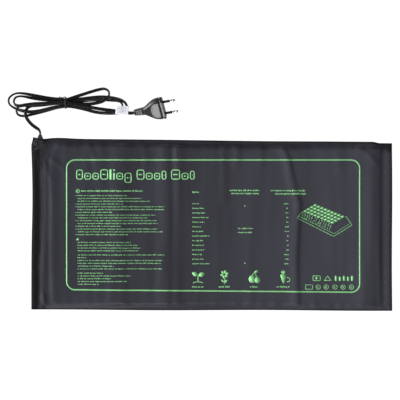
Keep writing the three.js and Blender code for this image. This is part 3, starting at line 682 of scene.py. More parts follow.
def grip_outline(reach, back, front, steps=18):
    """A D: straight beside the groove, round towards the lead."""
    middle = mix(front, back, 0.35)
    points = [(front, reach), (middle, reach)]
    for step in range(1, steps):
        angle = math.radians(90 - 180 * step / steps)
        points.append((middle - (middle - back) * math.cos(angle) ** 0.9, reach * math.sin(angle)))
    return points + [(middle, -reach), (front, -reach)]


class HEATMAT_OT_plug(bpy.types.Operator):
    """The moulded plug with its slotted boot and grip faces, and its pins"""

    bl_idname = "heatmat.plug"
    bl_label = "Plug"

    def execute(self, context):
        bm = bmesh.new()
        loft(bm, [[(x, a, b) for a, b in rounded_ring(w, t, c, 6)] for x, w, t, c in PLUG_SECTIONS])
        pocket = bmesh.new()
        block(pocket, *PIN_POCKET)
        bm = carve(carve(bm, pocket), boot_slots())
        bm.transform(PLUG)
        piece("plug_moulding", bm, plug_material(), ["plug_body"])

        bm = bmesh.new()
        outline, inner = grip_outline(11.2, -18.8, -6.4), grip_outline(10.0, -17.6, -7.2)
        levels = ((outline, 6.2), (outline, 6.95), (inner, 7.1), (inner, 6.85))
        for face in (1, -1):
            loft(bm, [[(x, y, face * z) for x, y in level] for level, z in levels])
            loft(bm, [[(x, y, face * z) for x, y in GRIP_RIM] for z in (6.2, 6.86)])
        # the lands between the slots take the grip's grey, a painted highlight on the lit ribs
        for n in range(4):  # the lands between the slots
            x, top = -34.3 - SLOT_PITCH * n, 4.3 - 0.2 * n
            loft(bm, [[(x + dx, side * 0.94 ** k * (4.6 - 0.3 * n), top - 0.6 + 0.5 * k)
                       for dx, side in ((-0.5, -1), (-0.5, 1), (0.5, 1), (0.5, -1))] for k in (0, 1)])
        bm.transform(PLUG)
        # painted reflection: the grip faces, their rims and the boot's lands are a lighter grey standing in
        # for the lamp mirrored by the black plug; the strong mottle is the grip's texture
        grip_painted_reflection = grained("plug_grip_painted_reflection", (0.25, 0.25, 0.255), 0.4, grain=1400, bump=0.3, spread=0.9, mottle=500)
        piece("plug_grip_faces", bm, grip_painted_reflection, smooth=False)

        metal = grained("pin_plating", (0.72, 0.72, 0.70), 0.22, metallic=1.0, grain=2600, bump=0.05,
                        spread=0.1, mottle=300)
        black = grained("pin_plastic", (0.008, 0.008, 0.009), 0.35, grain=2000, spread=0.2, mottle=200)
        for side, label in ((-1, "near"), (1, "far")):
            for name, profile, look, slot in (
                ("pin", PIN_PROFILE, metal, "pin_metal"),
                ("pin_sleeve", SLEEVE_PROFILE, black, "black_plastic"),
            ):
                bm = bmesh.new()
                turned(bm, profile)
                bm.transform(PLUG @ Matrix.Translation((0, side * PIN_HALF_SPACING, 0)))
                piece(f"{name}_{label}_turned", bm, look, [f"{name}_{label}"])
        return {"FINISHED"}


# The tie's loop round the hank, as y and z from where the lead leaves the mat.
TIE_LOOP = [
    (53.2, 8.0), (49.4, 9.4), (43.4, 9.4), (39.4, 7.2), (38.4, 4.6), (38.2, 1.6), (39.0, 0.45),
    (46, 0.4), (53.2, 0.45), (54.3, 1.8), (54.4, 4.6), (54.0, 6.6), (53.2, 8.0),
]
TAIL_TWIST = 26  # degrees from one station of its twisted end to the next


class HEATMAT_OT_tie(bpy.types.Operator):
    """The twist tie round the waist of the hank"""

    bl_idname = "heatmat.tie"
    bl_label = "Twist tie"

    def execute(self, context):
        stations = [from_exit(*p.xyz) for p in spline_points([(TIE, y, z, 0) for y, z in TIE_LOOP], 4)]
        outline = rounded_ring(1.9, 0.6, 0.25, 2)
        rings = []
        for i, place in enumerate(stations):
            ahead = stations[min(i + 1, len(stations) - 1)] - stations[max(i - 1, 0)]
            out = ahead.normalized().cross(Vector((1, 0, 0)))
            rings.append([place + Vector((a, 0, 0)) + out * b for a, b in outline])
        bm = bmesh.new()
        loft(bm, rings)
        steps = range(25)
        tail = [from_exit(TIE + 0.8 - 0.45 * n, 54.6 + 0.5 * math.sin(0.4 * n), 6.4 - 0.12 * n)
                for n in steps]
        sweep(bm, tail, rounded_ring(1.7, 0.7, 0.3, 2), [TAIL_TWIST * n for n in steps])
        look = grained("tie_plastic", (0.008, 0.008, 0.009), 0.3, grain=1500, spread=0.3, mottle=300)
        piece("hank_tie", bm, look, ["twist_tie"])
        return {"FINISHED"}


def tag_height(x, y):
    """The tag lies on the lead on its near side and on the turns of the hank on its far side."""
    return mix(8.9, 6.1, smooth_step(32, 42.5, y)) + 0.25 * math.sin((x - 111) * 0.32)


TAG_TURN = Matrix.Rotation(math.radians(-2), 4, "Z")


def lay_tag(bm, lift=0.0):
    """Turns flat work about the tag's middle and lays it where the tag lies."""
    centre = (TAG_LOW + TAG_HIGH) / 2 - EXIT
    for vert in bm.verts:
        flat = TAG_TURN @ vert.co
        x, y = centre.x + flat.x, centre.y + flat.y
        vert.co = from_exit(x, y, tag_height(x, y) + lift)


class HEATMAT_OT_tag(bpy.types.Operator):
    """The small white tag on the lead, with plain grey bars"""

    bl_idname = "heatmat.tag"
    bl_label = "Tag"

    def execute(self, context):
        size = TAG_HIGH - TAG_LOW
        bm = bmesh.new()
        bmesh.ops.create_grid(bm, x_segments=16, y_segments=12, size=0.5,
                              matrix=Matrix.Diagonal((size.x, size.y, 1, 1)))
        lay_tag(bm)
        # the tag's film has a painted glow on top of its white colour
        film = grained("tag_film", (0.90, 0.90, 0.95), 0.5, grain=1200, spread=0.06, mottle=300, bump=0.05)
        setup(film.node_tree.nodes["Principled BSDF"],  # painted light: the tag glows a little, so that it reads whiter than its lamps make it
              Emission_Color=(0.9, 0.92, 1.0, 1), Emission_Strength=0.16)
        thicken(piece("lead_tag", bm, film, ["cord_tag"]), 0.25)

        bm = bmesh.new()
        maker = random.Random(7)
        for row in range(5):
            x, y = -7.6, 4.2 - 2.1 * row
            while x < 6.4:
                word = maker.uniform(1.4, 3.6)
                stamp(bm, x, y - 0.35, min(x + word, 7.6), y + 0.35, 1.5)
                x += word + 0.8
        lay_tag(bm, 0.06)
        grey = grained("tag_ink", (0.48, 0.48, 0.54), 0.6, grain=1500, spread=0.3, mottle=800)
        thicken(piece("lead_tag_print", bm, grey), 0.05)
        return {"FINISHED"}


# ---- covers ----

FAR_END_DROP = 5.2  # the lead's side of the mat comes in by this much at the far end
RIM_TOP = 0.85
HEM_TOP = 3.5  # the loose film between the welded rim and the pad at either end
PATCH_RIGHT, PATCH_BOTTOM = -240, 110  # the dimpled patch in the corner beside the gland

# Folds in the top cover, left from the mat being rolled: the crest's line from the lead's side
# down, its height, and how far it spreads towards the far end and back towards the lead's end.
FOLDS = [
    ([(-242, 98), (-242.5, 40), (-243, -60), (-243, -112)], 0.2, 4.0, 6.5),
    ([(-224, 116), (-231, 100), (-234, 84), (-232, 20), (-233, -60), (-232, -112)], 0.55, 9, 4.2),
    ([(-129, 119), (-132, 60), (-133, 0), (-133, -60), (-131, -122)], 1.5, 11, 34),
    ([(-66, 118), (-65, 60), (-64, 10), (-65, -50), (-66, -122)], 1.4, 6, 18),
    ([(-50, 117), (-49, 60), (-48.5, 0), (-50, -60), (-51, -122)], 1.1, 9, 7),
    ([(17, 118), (17.5, 80), (17, 34)], 0.7, 6, 6.5),
    ([(37, 117), (37.5, 100), (36.5, 87)], 0.6, 5, 7),
    ([(101, 118), (106, 108), (112, 92), (117, 70), (121, 50), (127.5, 29), (125, 0), (123, -50),
      (125, -119)], 1.2, 4.5, 8),
    ([(230, 112), (231, 60), (231, 0), (230, -60), (230, -118)], 1.4, 13, 30),
    ([(258.5, 112), (259, 40), (259, -60), (258.5, -122)], 0.8, 3, 6),
    ([(222, 120), (238, 116), (256, 108)], 0.9, 4.5, 3),
    ([(238, 121), (250, 117), (261, 110)], 0.8, 3.5, 2.6),
    ([(214, 112), (226, 104), (240, 90)], 0.5, 4.5, 4),
    ([(-245, 96), (-243, 84), (-236, 66)], 0.28, 3.6, 3.6),
    ([(-249, 96), (-251, 82), (-250, 62)], 0.2, 3.2, 3.2),
    ([(-240, 100), (-230, 92), (-217, 82)], 0.45, 3.2, 3.6),
    ([(-238, 108), (-222, 112), (-200, 113)], 0.5, 3.0, 3.6),
    ([(-247, -104), (-245, -112), (-244, -121)], 0.7, 4, 4),
    ([(-180, 118), (-176, 108), (-170, 92)], 0.4, 4, 5),
    ([(-100, 118), (-97, 104), (-96, 84)], 0.45, 5, 5),
    ([(70, 118), (73, 104), (72, 88)], 0.35, 5, 5),
    ([(180, 116), (184, 100), (186, 78)], 0.35, 6, 6),
    ([(150, -121), (152, -110), (150, -98)], 0.35, 5, 5),
    ([(60, -121), (58, -112), (60, -100)], 0.3, 5, 5),
    ([(-20, -121), (-22, -110), (-20, -96)], 0.35, 5, 5),
]


def top_edge(x):
    """Y of the mat's edge on the lead's side: it stands out at the corner and dips beside the gland."""
    share = (x + HALF_LENGTH) / (2 * HALF_LENGTH)
    straight = HALF_WIDTH - FAR_END_DROP * share
    straight -= 1.9 * smooth_step(236, 246, x)
    straight += 1.2 * bell(x + 222, 20)
    return straight + 2.0 * bell(x + HALF_LENGTH, 7) - 0.8 * bell(x - EXIT.x - 7, 6) - 0.6 * bell(x - 70, 90)


def bottom_edge(x):
    share = (x + HALF_LENGTH) / (2 * HALF_LENGTH)
    return -HALF_WIDTH - 0.6 + mix(1.4, 0.0, share) + 0.4 * math.sin(x * 0.021)


def left_edge(y):
    corner = 2.4 * smooth_step(112, 126, y)
    return -HALF_LENGTH - 0.9 + 1.6 * bell(y - 38, 60) - 0.4 * bell(y - 110, 12) + corner


def right_edge(y):
    return HALF_LENGTH + 1.0 + 0.3 * math.sin(y * 0.03)


def fold_height(x, y):
    """Sum of the folds at a place, each fading out past its ends."""
    total = 0.0
    for line, height, far_side, near_side in FOLDS:
        best = None
        for (ax, ay), (bx, by) in zip(line, line[1:]):
            dx, dy = bx - ax, by - ay
            share = min(1.0, max(0.0, ((x - ax) * dx + (y - ay) * dy) / (dx * dx + dy * dy)))
            px, py = x - ax - share * dx, y - ay - share * dy
            distance = math.hypot(px, py)
            if best is None or distance < best[0]:
                best = (distance, dx * py - dy * px)
        distance, side = best
        reach = far_side if side > 0 else near_side
        if distance < 3.2 * reach:
            total += height * bell(distance, reach)
    return total


def cover_point(u, v):
    """The top cover's upper surface at a share u along the mat and v across it."""
    rough_y = mix(-HALF_WIDTH, HALF_WIDTH, v)
    x = mix(left_edge(rough_y), right_edge(rough_y), u)
    y = mix(bottom_edge(x), top_edge(x), v)
    from_ends = min(x - left_edge(rough_y), right_edge(rough_y) - x)
    from_sides = min(y - bottom_edge(x), top_edge(x) - y)
    from_edge = min(from_ends, from_sides)
    pad = smooth_step(11.5, 20.5, from_ends) * smooth_step(1, 12, from_sides)
    inwards = smooth_step(0, 4.5, from_ends) * smooth_step(0, 8, from_sides)
    hem = mix(RIM_TOP, HEM_TOP - 0.03 * from_ends, inwards)
    z = mix(hem, PAD_TOP + 0.25, pad)
    loose = 0.25 + 0.75 * pad
    folds = fold_height(x, y) * bpy.context.scene.heatmat_cover.fold_height
    z += folds * loose * smooth_step(0.5, 9, from_edge)
    z += 1.05 * pad * noise.noise(Vector((x / 34, y / 190, 3.1)))
    z += 0.75 * pad * noise.noise(Vector((x / 13, y / 110, 5.3)))
    z += 0.14 * loose * noise.noise(Vector((x / 8, y / 26, 7.7))) * smooth_step(1, 6, from_edge)
    z += 0.3 * bell(from_ends - 3.2, 0.9)
    z -= 0.4 * bell(from_edge, 0.9)
    ripple = 0.25 * math.sin(y * 0.42 + 1.3 * math.sin(x * 0.05)) * bell(from_ends - 8, 4)
    ripple += 0.22 * math.sin(x * 0.35 + 2 * math.sin(x * 0.03)) * bell(from_sides - 8, 4)
    z += ripple
    over_pad = smooth_step(17, 19.5, from_ends) * smooth_step(9, 11.5, from_sides)
    low = mix(0.5, PAD_TOP, over_pad)
    if z < low + 2:
        z = low + math.log(1 + math.exp(5 * (z - low))) / 5
    away = math.hypot(x - JUNCTION.x, y - JUNCTION.y)
    bump = JUNCTION_HIGH.z + 0.75
    z = max(z, mix(z, bump, smooth_step(15, 7.5, away)))
    tunnel = smooth_step(8.5, 4.6, abs(x - EXIT.x)) * smooth_step(JUNCTION.y - 4, JUNCTION.y, y)
    z = max(z, mix(z, 5.2, tunnel * smooth_step(-0.5, 2.5, top_edge(x) - y)))
    legs = smooth_step(10, 5.5, abs(x - JUNCTION.x - 2)) * smooth_step(78, 88, y) * smooth_step(112, 104, y)
    z = max(z, mix(z, 4.6, legs))
    if x < PATCH_RIGHT and y > PATCH_BOTTOM:
        z += 0.45 * math.sin(x * 1.9) * math.sin(y * 1.9) * smooth_step(1.5, 4, from_edge)
    return Vector((x, y, z)), from_edge


def spaced(count, fine_start, fine_end, length, fine_step):
    """Shares along a length, fine_step apart near its ends and even between."""
    first = [n * fine_step for n in range(int(fine_start / fine_step))]
    last = [length - n * fine_step for n in range(int(fine_end / fine_step))][::-1]
    start, end = first[-1] + fine_step, last[0] - fine_step
    middle = [mix(start, end, n / (count - 1)) for n in range(count)]
    return [place / length for place in first + middle + last]


def sheet_grid(shares_x, shares_y):
    """A grid whose columns and rows stand at the shares given."""
    bm = bmesh.new()
    across, down = len(shares_x) - 1, len(shares_y) - 1
    bmesh.ops.create_grid(bm, x_segments=across, y_segments=down, size=0.5)
    for vert in bm.verts:
        column, row = round((vert.co.x + 0.5) * across), round((vert.co.y + 0.5) * down)
        vert.co = (shares_x[column], shares_y[row], 0)
    return bm


class HEATMAT_OT_covers(bpy.types.Operator):
    """The welded vinyl covers, the upper one with its folds"""

    bl_idname = "heatmat.covers"
    bl_label = "Covers"

    def execute(self, context):
        film = context.scene.heatmat_cover.film / MM
        bm = sheet_grid(
            spaced(215, 26, 22, 2 * HALF_LENGTH, 1.0), spaced(100, 20, 12, 2 * HALF_WIDTH, 1.0))
        # The tone laid on the top cover is painted light: painted shade along edges, rim, corner and rise,
        # painted highlights on dimples, and a random mottle.
        painted_light_tone = bm.verts.layers.float_color.new("painted_light_tone")
        for vert in bm.verts:
            vert.co, from_edge = cover_point(vert.co.x, vert.co.y)
            x, y = vert.co.xy
            wander = 3 * noise.noise(Vector((x / 26, y / 40, 1.7)))
            # painted shade along the curled edge of the film
            painted_light_level = mix(0.45, 1.0, smooth_step(0.6, 2.6, from_edge))
            # painted shade over the welded rim strip at the lead's end
            painted_light_level *= mix(0.3, 1.0, smooth_step(8, 15, x + HALF_LENGTH + wander))
            # how dark the painted shade along the lead's side of the mat gets
            side_edge_shade = mix(0.8, 0.68, bell(x - 40, 90))
            # painted shade in the far corner on the lead's side, where the cover droops
            corner = math.hypot((right_edge(y) - x) / 38, (top_edge(x) - y) / 18)
            painted_light_level *= mix(0.62, 1.0, smooth_step(0.4, 1.15, corner))
            # painted shade along the lead's side of the mat
            painted_light_level *= mix(side_edge_shade, 1.0, smooth_step(4, 17, top_edge(x) - y + 2 * wander))
            # painted shade over the rise from the rim up to the pad at the lead's end
            painted_light_level *= 1 - 0.36 * bell(x + 246.5, 5.5)
            # painted highlights on the dimples of the corner patch
            if x < PATCH_RIGHT - 2 and y > PATCH_BOTTOM:
                dimple_highlights = math.sin(x * 1.5 + y * 0.9) * math.sin(y * 1.4 - x * 0.4)
                painted_light_level += 2.2 * max(0.0, dimple_highlights - 0.3) * smooth_step(1, 3, from_edge)
            # painted shade along the edge at the far end
            painted_light_level *= mix(0.8, 1.0, smooth_step(-1, 5, right_edge(y) - x))
            patchy = 0.1 * noise.noise(Vector((x / 30, y / 120, 9)))
            # painted light: brighter towards the far end, as if lit there, with a random mottle on top
            painted_light_level *= mix(1.08, 1.26, smooth_step(-60, 150, x)) + patchy
            vert[painted_light_tone] = (painted_light_level, painted_light_level, painted_light_level, 1)
        upper = piece("top_film", bm, cover_material(), ["top_cover"])
        thicken(upper, film)

        steps = [n / 120 for n in range(121)]
        bm = sheet_grid(steps, steps[::2])
        painted_light_tone = bm.verts.layers.float_color.new("painted_light_tone")
        for vert in bm.verts:
            place, from_edge = cover_point(vert.co.x, vert.co.y)
            vert.co = (place.x, place.y, film + 0.02)
            vert[painted_light_tone] = (0.8, 0.8, 0.8, 1)
        lower = piece("bottom_film", bm, cover_material(), ["bottom_cover"])
        thicken(lower, film)
        return {"FINISHED"}


# ---- print ----


def strip(bm, points, width, closed=False):
    """A line of a given width through points."""
    joined = [Vector(p).to_2d() for p in points]
    if closed:
        joined.append(joined[0])
    fine = [joined[0]]
    for a, b in zip(joined, joined[1:]):
        parts = max(1, math.ceil((b - a).length / 2.2))
        fine += [a.lerp(b, n / parts) for n in range(1, parts + 1)]
    count = len(fine)
    front = None
    for i, place in enumerate(fine):
        before = fine[i - 1] if i else (fine[-2] if closed else place)
        after = fine[(i + 1) % count] if i + 1 < count else (fine[1] if closed else place)
        ahead = (after - before).normalized()
        side = Vector((-ahead.y, ahead.x)) * width / 2
        pair = ((*(place + side), 0), (*(place - side), 0))
        if front is None:
            front = bm.edges.new([bm.verts.new(p) for p in pair])
            left = front.verts[0]
            continue
        made = bmesh.ops.extrude_edge_only(bm, edges=[front])["geom"]
        fresh = [g for g in made if isinstance(g, bmesh.types.BMVert)]
        left_next = next(v for v in fresh if any(e.other_vert(v) is left for e in v.link_edges))
        front = next(e for e in left_next.link_edges if e.other_vert(left_next) in fresh)
        front.other_vert(left_next).co = pair[1]
        left_next.co = pair[0]
        left = left_next


def arc_points(x, y, radius, start, end, steps=6, squash=1.0):
    return [
        (x + radius * math.cos(math.radians(mix(start, end, n / steps))),
         y + squash * radius * math.sin(math.radians(mix(start, end, n / steps))))
        for n in range(steps + 1)
    ]


def round_corners(left, right, top, low_left, low_right, corner, steps):
    """Outline of a box with round corners, from the right of its top round to the left."""
    return (
        arc_points(right - corner, top - corner, corner, 0, 90, steps)
        + arc_points(left + corner, top - corner, corner, 90, 180, steps)
        + arc_points(left + corner, low_left + corner, corner, 180, 270, steps)
        + arc_points(right - corner, low_right + corner, corner, 270, 360, steps)
    )


def disc(bm, x, y, radius, squash=1.0, turn=0.0, steps=20):
    """A filled ellipse."""
    place = (Matrix.Translation((x, y, 0)) @ Matrix.Rotation(math.radians(turn), 4, "Z")
             @ Matrix.Diagonal((1, squash, 1, 1)))
    bmesh.ops.create_circle(bm, cap_ends=True, cap_tris=False, segments=steps, radius=radius, matrix=place)


def ring(bm, x, y, radius, width, squash=1.0):
    strip(bm, arc_points(x, y, radius, 0, 360, 18, squash), width)


def fill(bm, points):
    """A filled outline."""
    bmesh.ops.contextual_create(bm, geom=[bm.verts.new((x, y, 0)) for x, y in points])


def greek_line(bm, x, y, length, maker, height=1.05, bold=False):
    """A line of plain marks that stands for small print."""
    end = x + length
    while x < end - 0.8:
        for _ in range(maker.randint(2, 8)):
            wide = maker.uniform(0.75, 1.15) * (1.25 if bold else 1)
            if x + wide > end:
                break
            tall = height * (1.4 if maker.random() < 0.25 else 1)
            foot = y - height / 2 - (0.4 * height if maker.random() < 0.1 else 0)
            stamp(bm, x, foot, x + wide, y - height / 2 + tall, 3)
            x += wide + 0.42
        x += 1.1


def heading_line(bm, x0, x1, y, maker, height=1.7):
    greek_line(bm, x0, y, x1 - x0, maker, height, bold=True)


TITLE_BASE = 65.4
TITLE_HEIGHTS = {  # how far a mark goes down and up from that line
    "cap": (0, 15), "x": (0, 10.3), "tall": (0, 15.4), "t": (0, 13.4), "i": (0, 10.3), "deep": (-4.8, 10.3),
}
TITLE_WORDS = [  # where a word starts, then the kind and the width of its marks
    (-198.1, [("cap", 10.1), ("x", 10), ("x", 9.8), ("tall", 11.7), ("tall", 3.8), ("i", 2.7),
              ("x", 10.1), ("deep", 10.5)]),
    (-109.7, [("cap", 11.7), ("x", 10.3), ("x", 9.2), ("t", 7.2)]),
    (-59.3, [("cap", 13.6), ("x", 10.4), ("t", 7.2)]),
]
TITLE_GAP = 1.8
TITLE_STROKE = 1.7
TITLE_CORNER = 2.6


def title_mark(bm, x, width, low, high):
    """One plain mark of the title: a rounded block, with a slot through it when it is wide."""
    y0, y1 = TITLE_BASE + low, TITLE_BASE + high
    if width < 2 * TITLE_STROKE + 1.5:
        stamp(bm, x, y0, x + width, y1)
        return
    inset = TITLE_STROKE / 2
    left, right, bottom, top = x + inset, x + width - inset, y0 + inset, y1 - inset
    strip(bm, round_corners(left, right, top, bottom, bottom, TITLE_CORNER, 6), TITLE_STROKE, closed=True)
    middle = (bottom + top) / 2
    stamp(bm, left + 2.4, middle - 0.9, right - 2.4, middle + 0.9)


TEXT_LEFT = -196.2
TEXT_PITCH = 4.075
TEXT_BLOCKS = [  # the height of a block's first line, then the lengths of its lines
    (42.0, [73, 94, 106, 67, 127, 127, 52, 115, 102, 116, 118, 63, 118, 126, 74]),
    (-26.5, [79, 89, 92, 89]),
    (-44.8, [127, 14, 124, 123, 53, 125]),
    (-71.4, [38, 79, 50, 73, 32]),
]
DOTTED_LINES = (0, 3, 4, 6, 7, 9, 11, 12, 14)  # lines of the first block with a dot before them
TABLE_LEFT = -28.4
TABLE_TOP = 30.2
TABLE_PITCH = 6.76
TABLE_HEADINGS = (  # from x, to x, y
    (TABLE_LEFT, -17.8, 47.1), (26.3, 71.9, 49.7), (28.5, 70.4, 45.2), (86.6, 138, 49.4), (92.9, 138.5, 44.7),
)
FIRST_COLUMN = [10.6, 18, 18.8, 24.8, 19.5, 14.2, 16.1, 26.2, 15.8, 17.6, 17.3, 15.8, 17.3, 26.5]
LAST_COLUMN_END = 113.1
PICTURE_CAPTIONS = ((-28.9, -10.9), (10.8, 26.6), (56.2, 68.1), (95.1, 114.7))


def drape(bm, lift=0.1):
    """Lays flat print on the cover."""
    cover = bpy.data.objects["top_film"].data
    tree = BVHTree.FromPolygons([v.co for v in cover.vertices], [p.vertices for p in cover.polygons])
    for vert in bm.verts:
        hit = tree.ray_cast(Vector((vert.co.x * MM, vert.co.y * MM, 0.1)), Vector((0, 0, -1)))[0]
        vert.co.z = hit.z / MM + lift


def printed(name, bm):
    """A finished piece of print, laid on the cover."""
    drape(bm)
    bmesh.ops.recalc_face_normals(bm, faces=bm.faces)
    for face in bm.faces:
        if face.normal.z < 0:
            face.normal_flip()
    thicken(piece(name, bm, ink_material()), 0.08)


PRINT_FRAME = (-212, 216.6, 94.3, -95.7, -99.2, 12.2)  # left, right, top, low left, low right, corner


class HEATMAT_OT_print_frame(bpy.types.Operator):
    """The rounded line round the print"""

    bl_idname = "heatmat.print_frame"
    bl_label = "Printed frame"

    def execute(self, context):
        bm = bmesh.new()
        strip(bm, round_corners(*PRINT_FRAME, 8), 2.0, closed=True)
        printed("print_frame", bm)
        return {"FINISHED"}


class HEATMAT_OT_print_text(bpy.types.Operator):
    """Title marks, small print and the table, all as plain marks"""

    bl_idname = "heatmat.print_text"
    bl_label = "Printed text marks"

    def execute(self, context):
        bm = bmesh.new()
        for start, marks in TITLE_WORDS:
            x = start
            for kind, width in marks:
                title_mark(bm, x, width, *TITLE_HEIGHTS[kind])
                if kind == "i":
                    stamp(bm, x, TITLE_BASE + 12.6, x + width, TITLE_BASE + 15.2)
                x += width + TITLE_GAP
        printed("print_title", bm)

        maker = random.Random(11)
        bm = bmesh.new()
        ring(bm, -195.8, 48.8, 2.5, 1.0)
        disc(bm, -195.8, 48.8, 1.1)
        heading_line(bm, -191.1, -99, 48.8, maker)
        for block_index, (top, lengths) in enumerate(TEXT_BLOCKS):
            for n, length in enumerate(lengths):
                y = top - n * TEXT_PITCH
                greek_line(bm, TEXT_LEFT, y, length, maker)
                if block_index == 0 and n in DOTTED_LINES:
                    disc(bm, TEXT_LEFT - 2.2, y, 0.7, steps=8)
        fill(bm, [(-198.3, -23.2), (-193.3, -23.2), (-195.8, -18.9)])
        printed("print_small_text", bm)

        bm = bmesh.new()
        for heading in TABLE_HEADINGS:
            heading_line(bm, *heading, maker)
        for row, length in enumerate(FIRST_COLUMN):
            y = TABLE_TOP - row * TABLE_PITCH
            greek_line(bm, TABLE_LEFT, y, length, maker, 1.3)
            size = maker.uniform(2.4, 8)
            greek_line(bm, LAST_COLUMN_END - size, y, size, maker, 1.3)
        for y in (26.9, -56.9):
            disc(bm, 48.8, y, 1.1, steps=10)
        for y in (-6, -11.8):
            greek_line(bm, 38.6, y, 22.4, maker, 1.4)
        for x0, x1 in PICTURE_CAPTIONS:
            greek_line(bm, x0, -91.6, x1 - x0, maker, 1.9)
        printed("print_table", bm)
        return {"FINISHED"}


def leaf(bm, x, y, length, width, turn, steps=8):
    """A pointed leaf from its foot."""
    shares = [n / steps for n in range(steps + 1)]
    points = [(length * t, width / 2 * math.sin(math.pi * t) ** 0.8) for t in shares]
    points += [(a, -b) for a, b in points[-2:0:-1]]
    angle = math.radians(turn)
    fill(bm, [(x + a * math.cos(angle) - b * math.sin(angle), y + a * math.sin(angle) + b * math.cos(angle))
              for a, b in points])


def sprout_icon(bm, x, y):
    strip(bm, [(x, y - 9), (x - 0.4, y - 3), (x, y + 1)], 1.3)
    for turn in (22, 152):
        leaf(bm, x, y + 0.6, 10.5, 6.4, turn)
    strip(bm, arc_points(x, y - 12.5, 9, 35, 145, 8, 0.5), 1.2)


def flower_icon(bm, x, y):
    for n in range(6):
        angle = math.radians(60 * n + 15)
        disc(bm, x + 3.7 * math.cos(angle), y + 4 + 3.7 * math.sin(angle), 2.5, 0.75, 60 * n + 15, 14)
    strip(bm, [(x, y), (x + 0.4, y - 5), (x, y - 10)], 1.2)
    for turn in (40, 140):
        leaf(bm, x, y - 8, 6.4, 3, turn)


def fruit_icon(bm, x, y):
    disc(bm, x - 3.0, y - 3, 5.4, 1.05)
    disc(bm, x + 4.2, y - 4.4, 4.4, 1.0)
    strip(bm, [(x - 3, y + 2.6), (x - 0.4, y + 7), (x + 4, y + 0.4)], 1.0)
    leaf(bm, x - 0.4, y + 6.4, 7, 3.4, 25)


def vegetable_icon(bm, x, y):
    outline = ((-1.6, -6), (0, -9.4), (1.6, -6), (4.6, 3.4), (3.6, 5), (-3.6, 5), (-4.6, 3.4))
    fill(bm, [(x + a, y + b) for a, b in outline])
    for length, turn in ((5.6, 62), (6, 92), (5.6, 122)):
        leaf(bm, x, y + 5.2, length, 2.6, turn)
    strip(bm, arc_points(x + 6.4, y - 3, 3.2, -120, 110, 7), 1.0)


def cell_tray(bm):
    """A seed tray drawn from above one corner: its rows of cells, standing in a clear outer tray."""
    left, top, right = Vector((132.9, 19.2)), Vector((152.2, 30.4)), Vector((196.7, 11.6))
    low_left, low, low_right = Vector((125.1, 9.3)), Vector((178.6, -17.6)), Vector((205.4, -1))
    strip(bm, [left, low_left, low, low_right, right], 0.8)
    strip(bm, [low_left + Vector((3, 2.2)), low + Vector((0.4, 4)), low_right + Vector((-3.4, 2))], 0.5)
    across, down = 9, 4
    for i in range(across):
        for j in range(down):
            corners = []
            for du, dv in ((0.1, 0.1), (0.9, 0.1), (0.9, 0.9), (0.1, 0.9)):
                u, v = (i + du) / across, (j + dv) / down
                corners.append(top + (right - top) * u + (left - top) * v)
            fill(bm, corners)
    maker = random.Random(3)
    for row in range(4):
        for n in range(13):
            share = (n + 0.5 + maker.uniform(-0.2, 0.2)) / 13
            place = left.lerp(left + right - top, share) + Vector((-0.9, -2.3)) * (row + 0.5)
            size = maker.uniform(0.4, 0.85)
            stamp(bm, place.x - size, place.y - size, place.x + size, place.y + size, 3)


class HEATMAT_OT_print_pictures(bpy.types.Operator):
    """Plant pictures, the seed tray and plain marks"""

    bl_idname = "heatmat.print_pictures"
    bl_label = "Printed pictures"

    def execute(self, context):
        bm = bmesh.new()
        sprout_icon(bm, -19.6, -76)
        flower_icon(bm, 19, -77)
        fruit_icon(bm, 62.5, -77)
        vegetable_icon(bm, 105, -78)
        printed("print_plants", bm)

        bm = bmesh.new()
        cell_tray(bm)
        printed("print_tray", bm)

        bm = bmesh.new()
        strip(bm, [(148.6, -75.4), (159, -75.4), (159, -82.2), (148.6, -82.2)], 1.1, closed=True)
        disc(bm, 153.8, -78.8, 1.9)
        strip(bm, [(165, -82), (174.9, -82), (170, -75.4)], 1.1, closed=True)
        for n in range(5):
            stamp(bm, 180.4 + 5.9 * n, -82.6, 183.6 + 5.9 * n, -75.4 - 1.1 * (n % 2))
        strip(bm, [(137.5, -88.6), (147.8, -88.6), (147.8, -94.9), (137.5, -94.9)], 0.9, closed=True)
        for n, x in enumerate((156, 167.8, 180.7, 192.5, 204.6)):
            ring(bm, x, -91.7, 3.2, 0.9)
            if n % 2:
                disc(bm, x, -91.7, 1.3, steps=10)
            else:
                stamp(bm, x - 1.6, -92.2, x + 1.6, -91.2)
        printed("print_marks", bm)
        return {"FINISHED"}


# ---- inner parts ----

INNER_LOOKS = [  # colour, roughness, how metallic, and the parts
    ((0.68, 0.68, 0.64), 0.9, 0.0, ["insulation_foam"]),
    ((0.76, 0.76, 0.72), 0.95, 0.0, ["carrier_felt"]),
    ((0.76, 0.77, 0.78), 0.28, 0.95, ["heat_foil"]),
    ((0.72, 0.66, 0.34), 0.5, 0.0, ["wire_tape_1", "wire_tape_2", "wire_tape_3"]),
    ((0.42, 0.05, 0.03), 0.45, 0.0, ["heating_wire", "return_lead"]),
    ((0.7, 0.7, 0.7), 0.3, 0.9, ["thermal_fuse"]),
    ((0.78, 0.78, 0.75), 0.8, 0.0, ["fuse_sleeve"]),
    ((0.012, 0.012, 0.013), 0.45, 0.0, ["junction_base", "junction_lid"]),
    ((0.7, 0.7, 0.66), 0.3, 1.0,
     ["splice_crimp_live", "splice_crimp_neutral", "pin_crimp_near", "pin_crimp_far"]),
    ((0.2, 0.07, 0.02), 0.45, 0.0, ["lead_core_live"]),
    ((0.03, 0.08, 0.33), 0.45, 0.0, ["lead_core_neutral"]),
    ((0.010, 0.010, 0.011), 0.42, 0.0, ["plug_bridge"]),
]


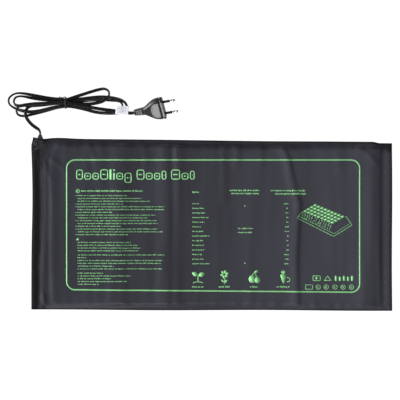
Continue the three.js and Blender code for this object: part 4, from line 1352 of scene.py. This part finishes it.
class HEATMAT_OT_inner_parts(bpy.types.Operator):
    """Finishes for the parts that the covers and the plug hide"""

    bl_idname = "heatmat.inner_parts"
    bl_label = "Inner parts"

    def execute(self, context):
        for *finish, nodes in INNER_LOOKS:
            for node in nodes:
                look = grained(f"{node}_look", *finish, grain=700, bump=0.3, spread=0.2, mottle=90)
                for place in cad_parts[node].material_slots:
                    place.material = look
        return {"FINISHED"}


# ---- add-on ----

STEPS = (
    HEATMAT_OT_stage, HEATMAT_OT_lead, HEATMAT_OT_gland, HEATMAT_OT_plug, HEATMAT_OT_tie, HEATMAT_OT_tag,
    HEATMAT_OT_covers, HEATMAT_OT_print_frame, HEATMAT_OT_print_text, HEATMAT_OT_print_pictures,
    HEATMAT_OT_inner_parts,
)


class HEATMAT_PT_panel(bpy.types.Panel):
    """The mat's steps, in the order that they are made"""

    bl_idname = "HEATMAT_PT_panel"
    bl_label = "Heat Mat"
    bl_space_type = "VIEW_3D"
    bl_region_type = "UI"
    bl_category = "Heat Mat"

    def draw(self, context):
        for group in (context.scene.heatmat_cover, context.scene.heatmat_lead, context.scene.heatmat_stage):
            for name in group.bl_rna.properties.keys():
                if name not in ("rna_type", "name"):
                    self.layout.prop(group, name)
        for step in STEPS:
            self.layout.operator(step.bl_idname)


CLASSES = (HeatMatCoverSettings, HeatMatLeadSettings, HeatMatStageSettings, *STEPS, HEATMAT_PT_panel)


def register():
    for cls in CLASSES:
        bpy.utils.register_class(cls)
    bpy.types.Scene.heatmat_cover = PointerProperty(type=HeatMatCoverSettings)
    bpy.types.Scene.heatmat_lead = PointerProperty(type=HeatMatLeadSettings)
    bpy.types.Scene.heatmat_stage = PointerProperty(type=HeatMatStageSettings)


def unregister():
    for name in ("heatmat_cover", "heatmat_lead", "heatmat_stage"):
        delattr(bpy.types.Scene, name)
    for cls in reversed(CLASSES):
        bpy.utils.unregister_class(cls)


def main():
    register()
    for step in STEPS:
        getattr(bpy.ops.heatmat, step.bl_idname.split(".")[1])()


if __name__ == "__main__":
    main()
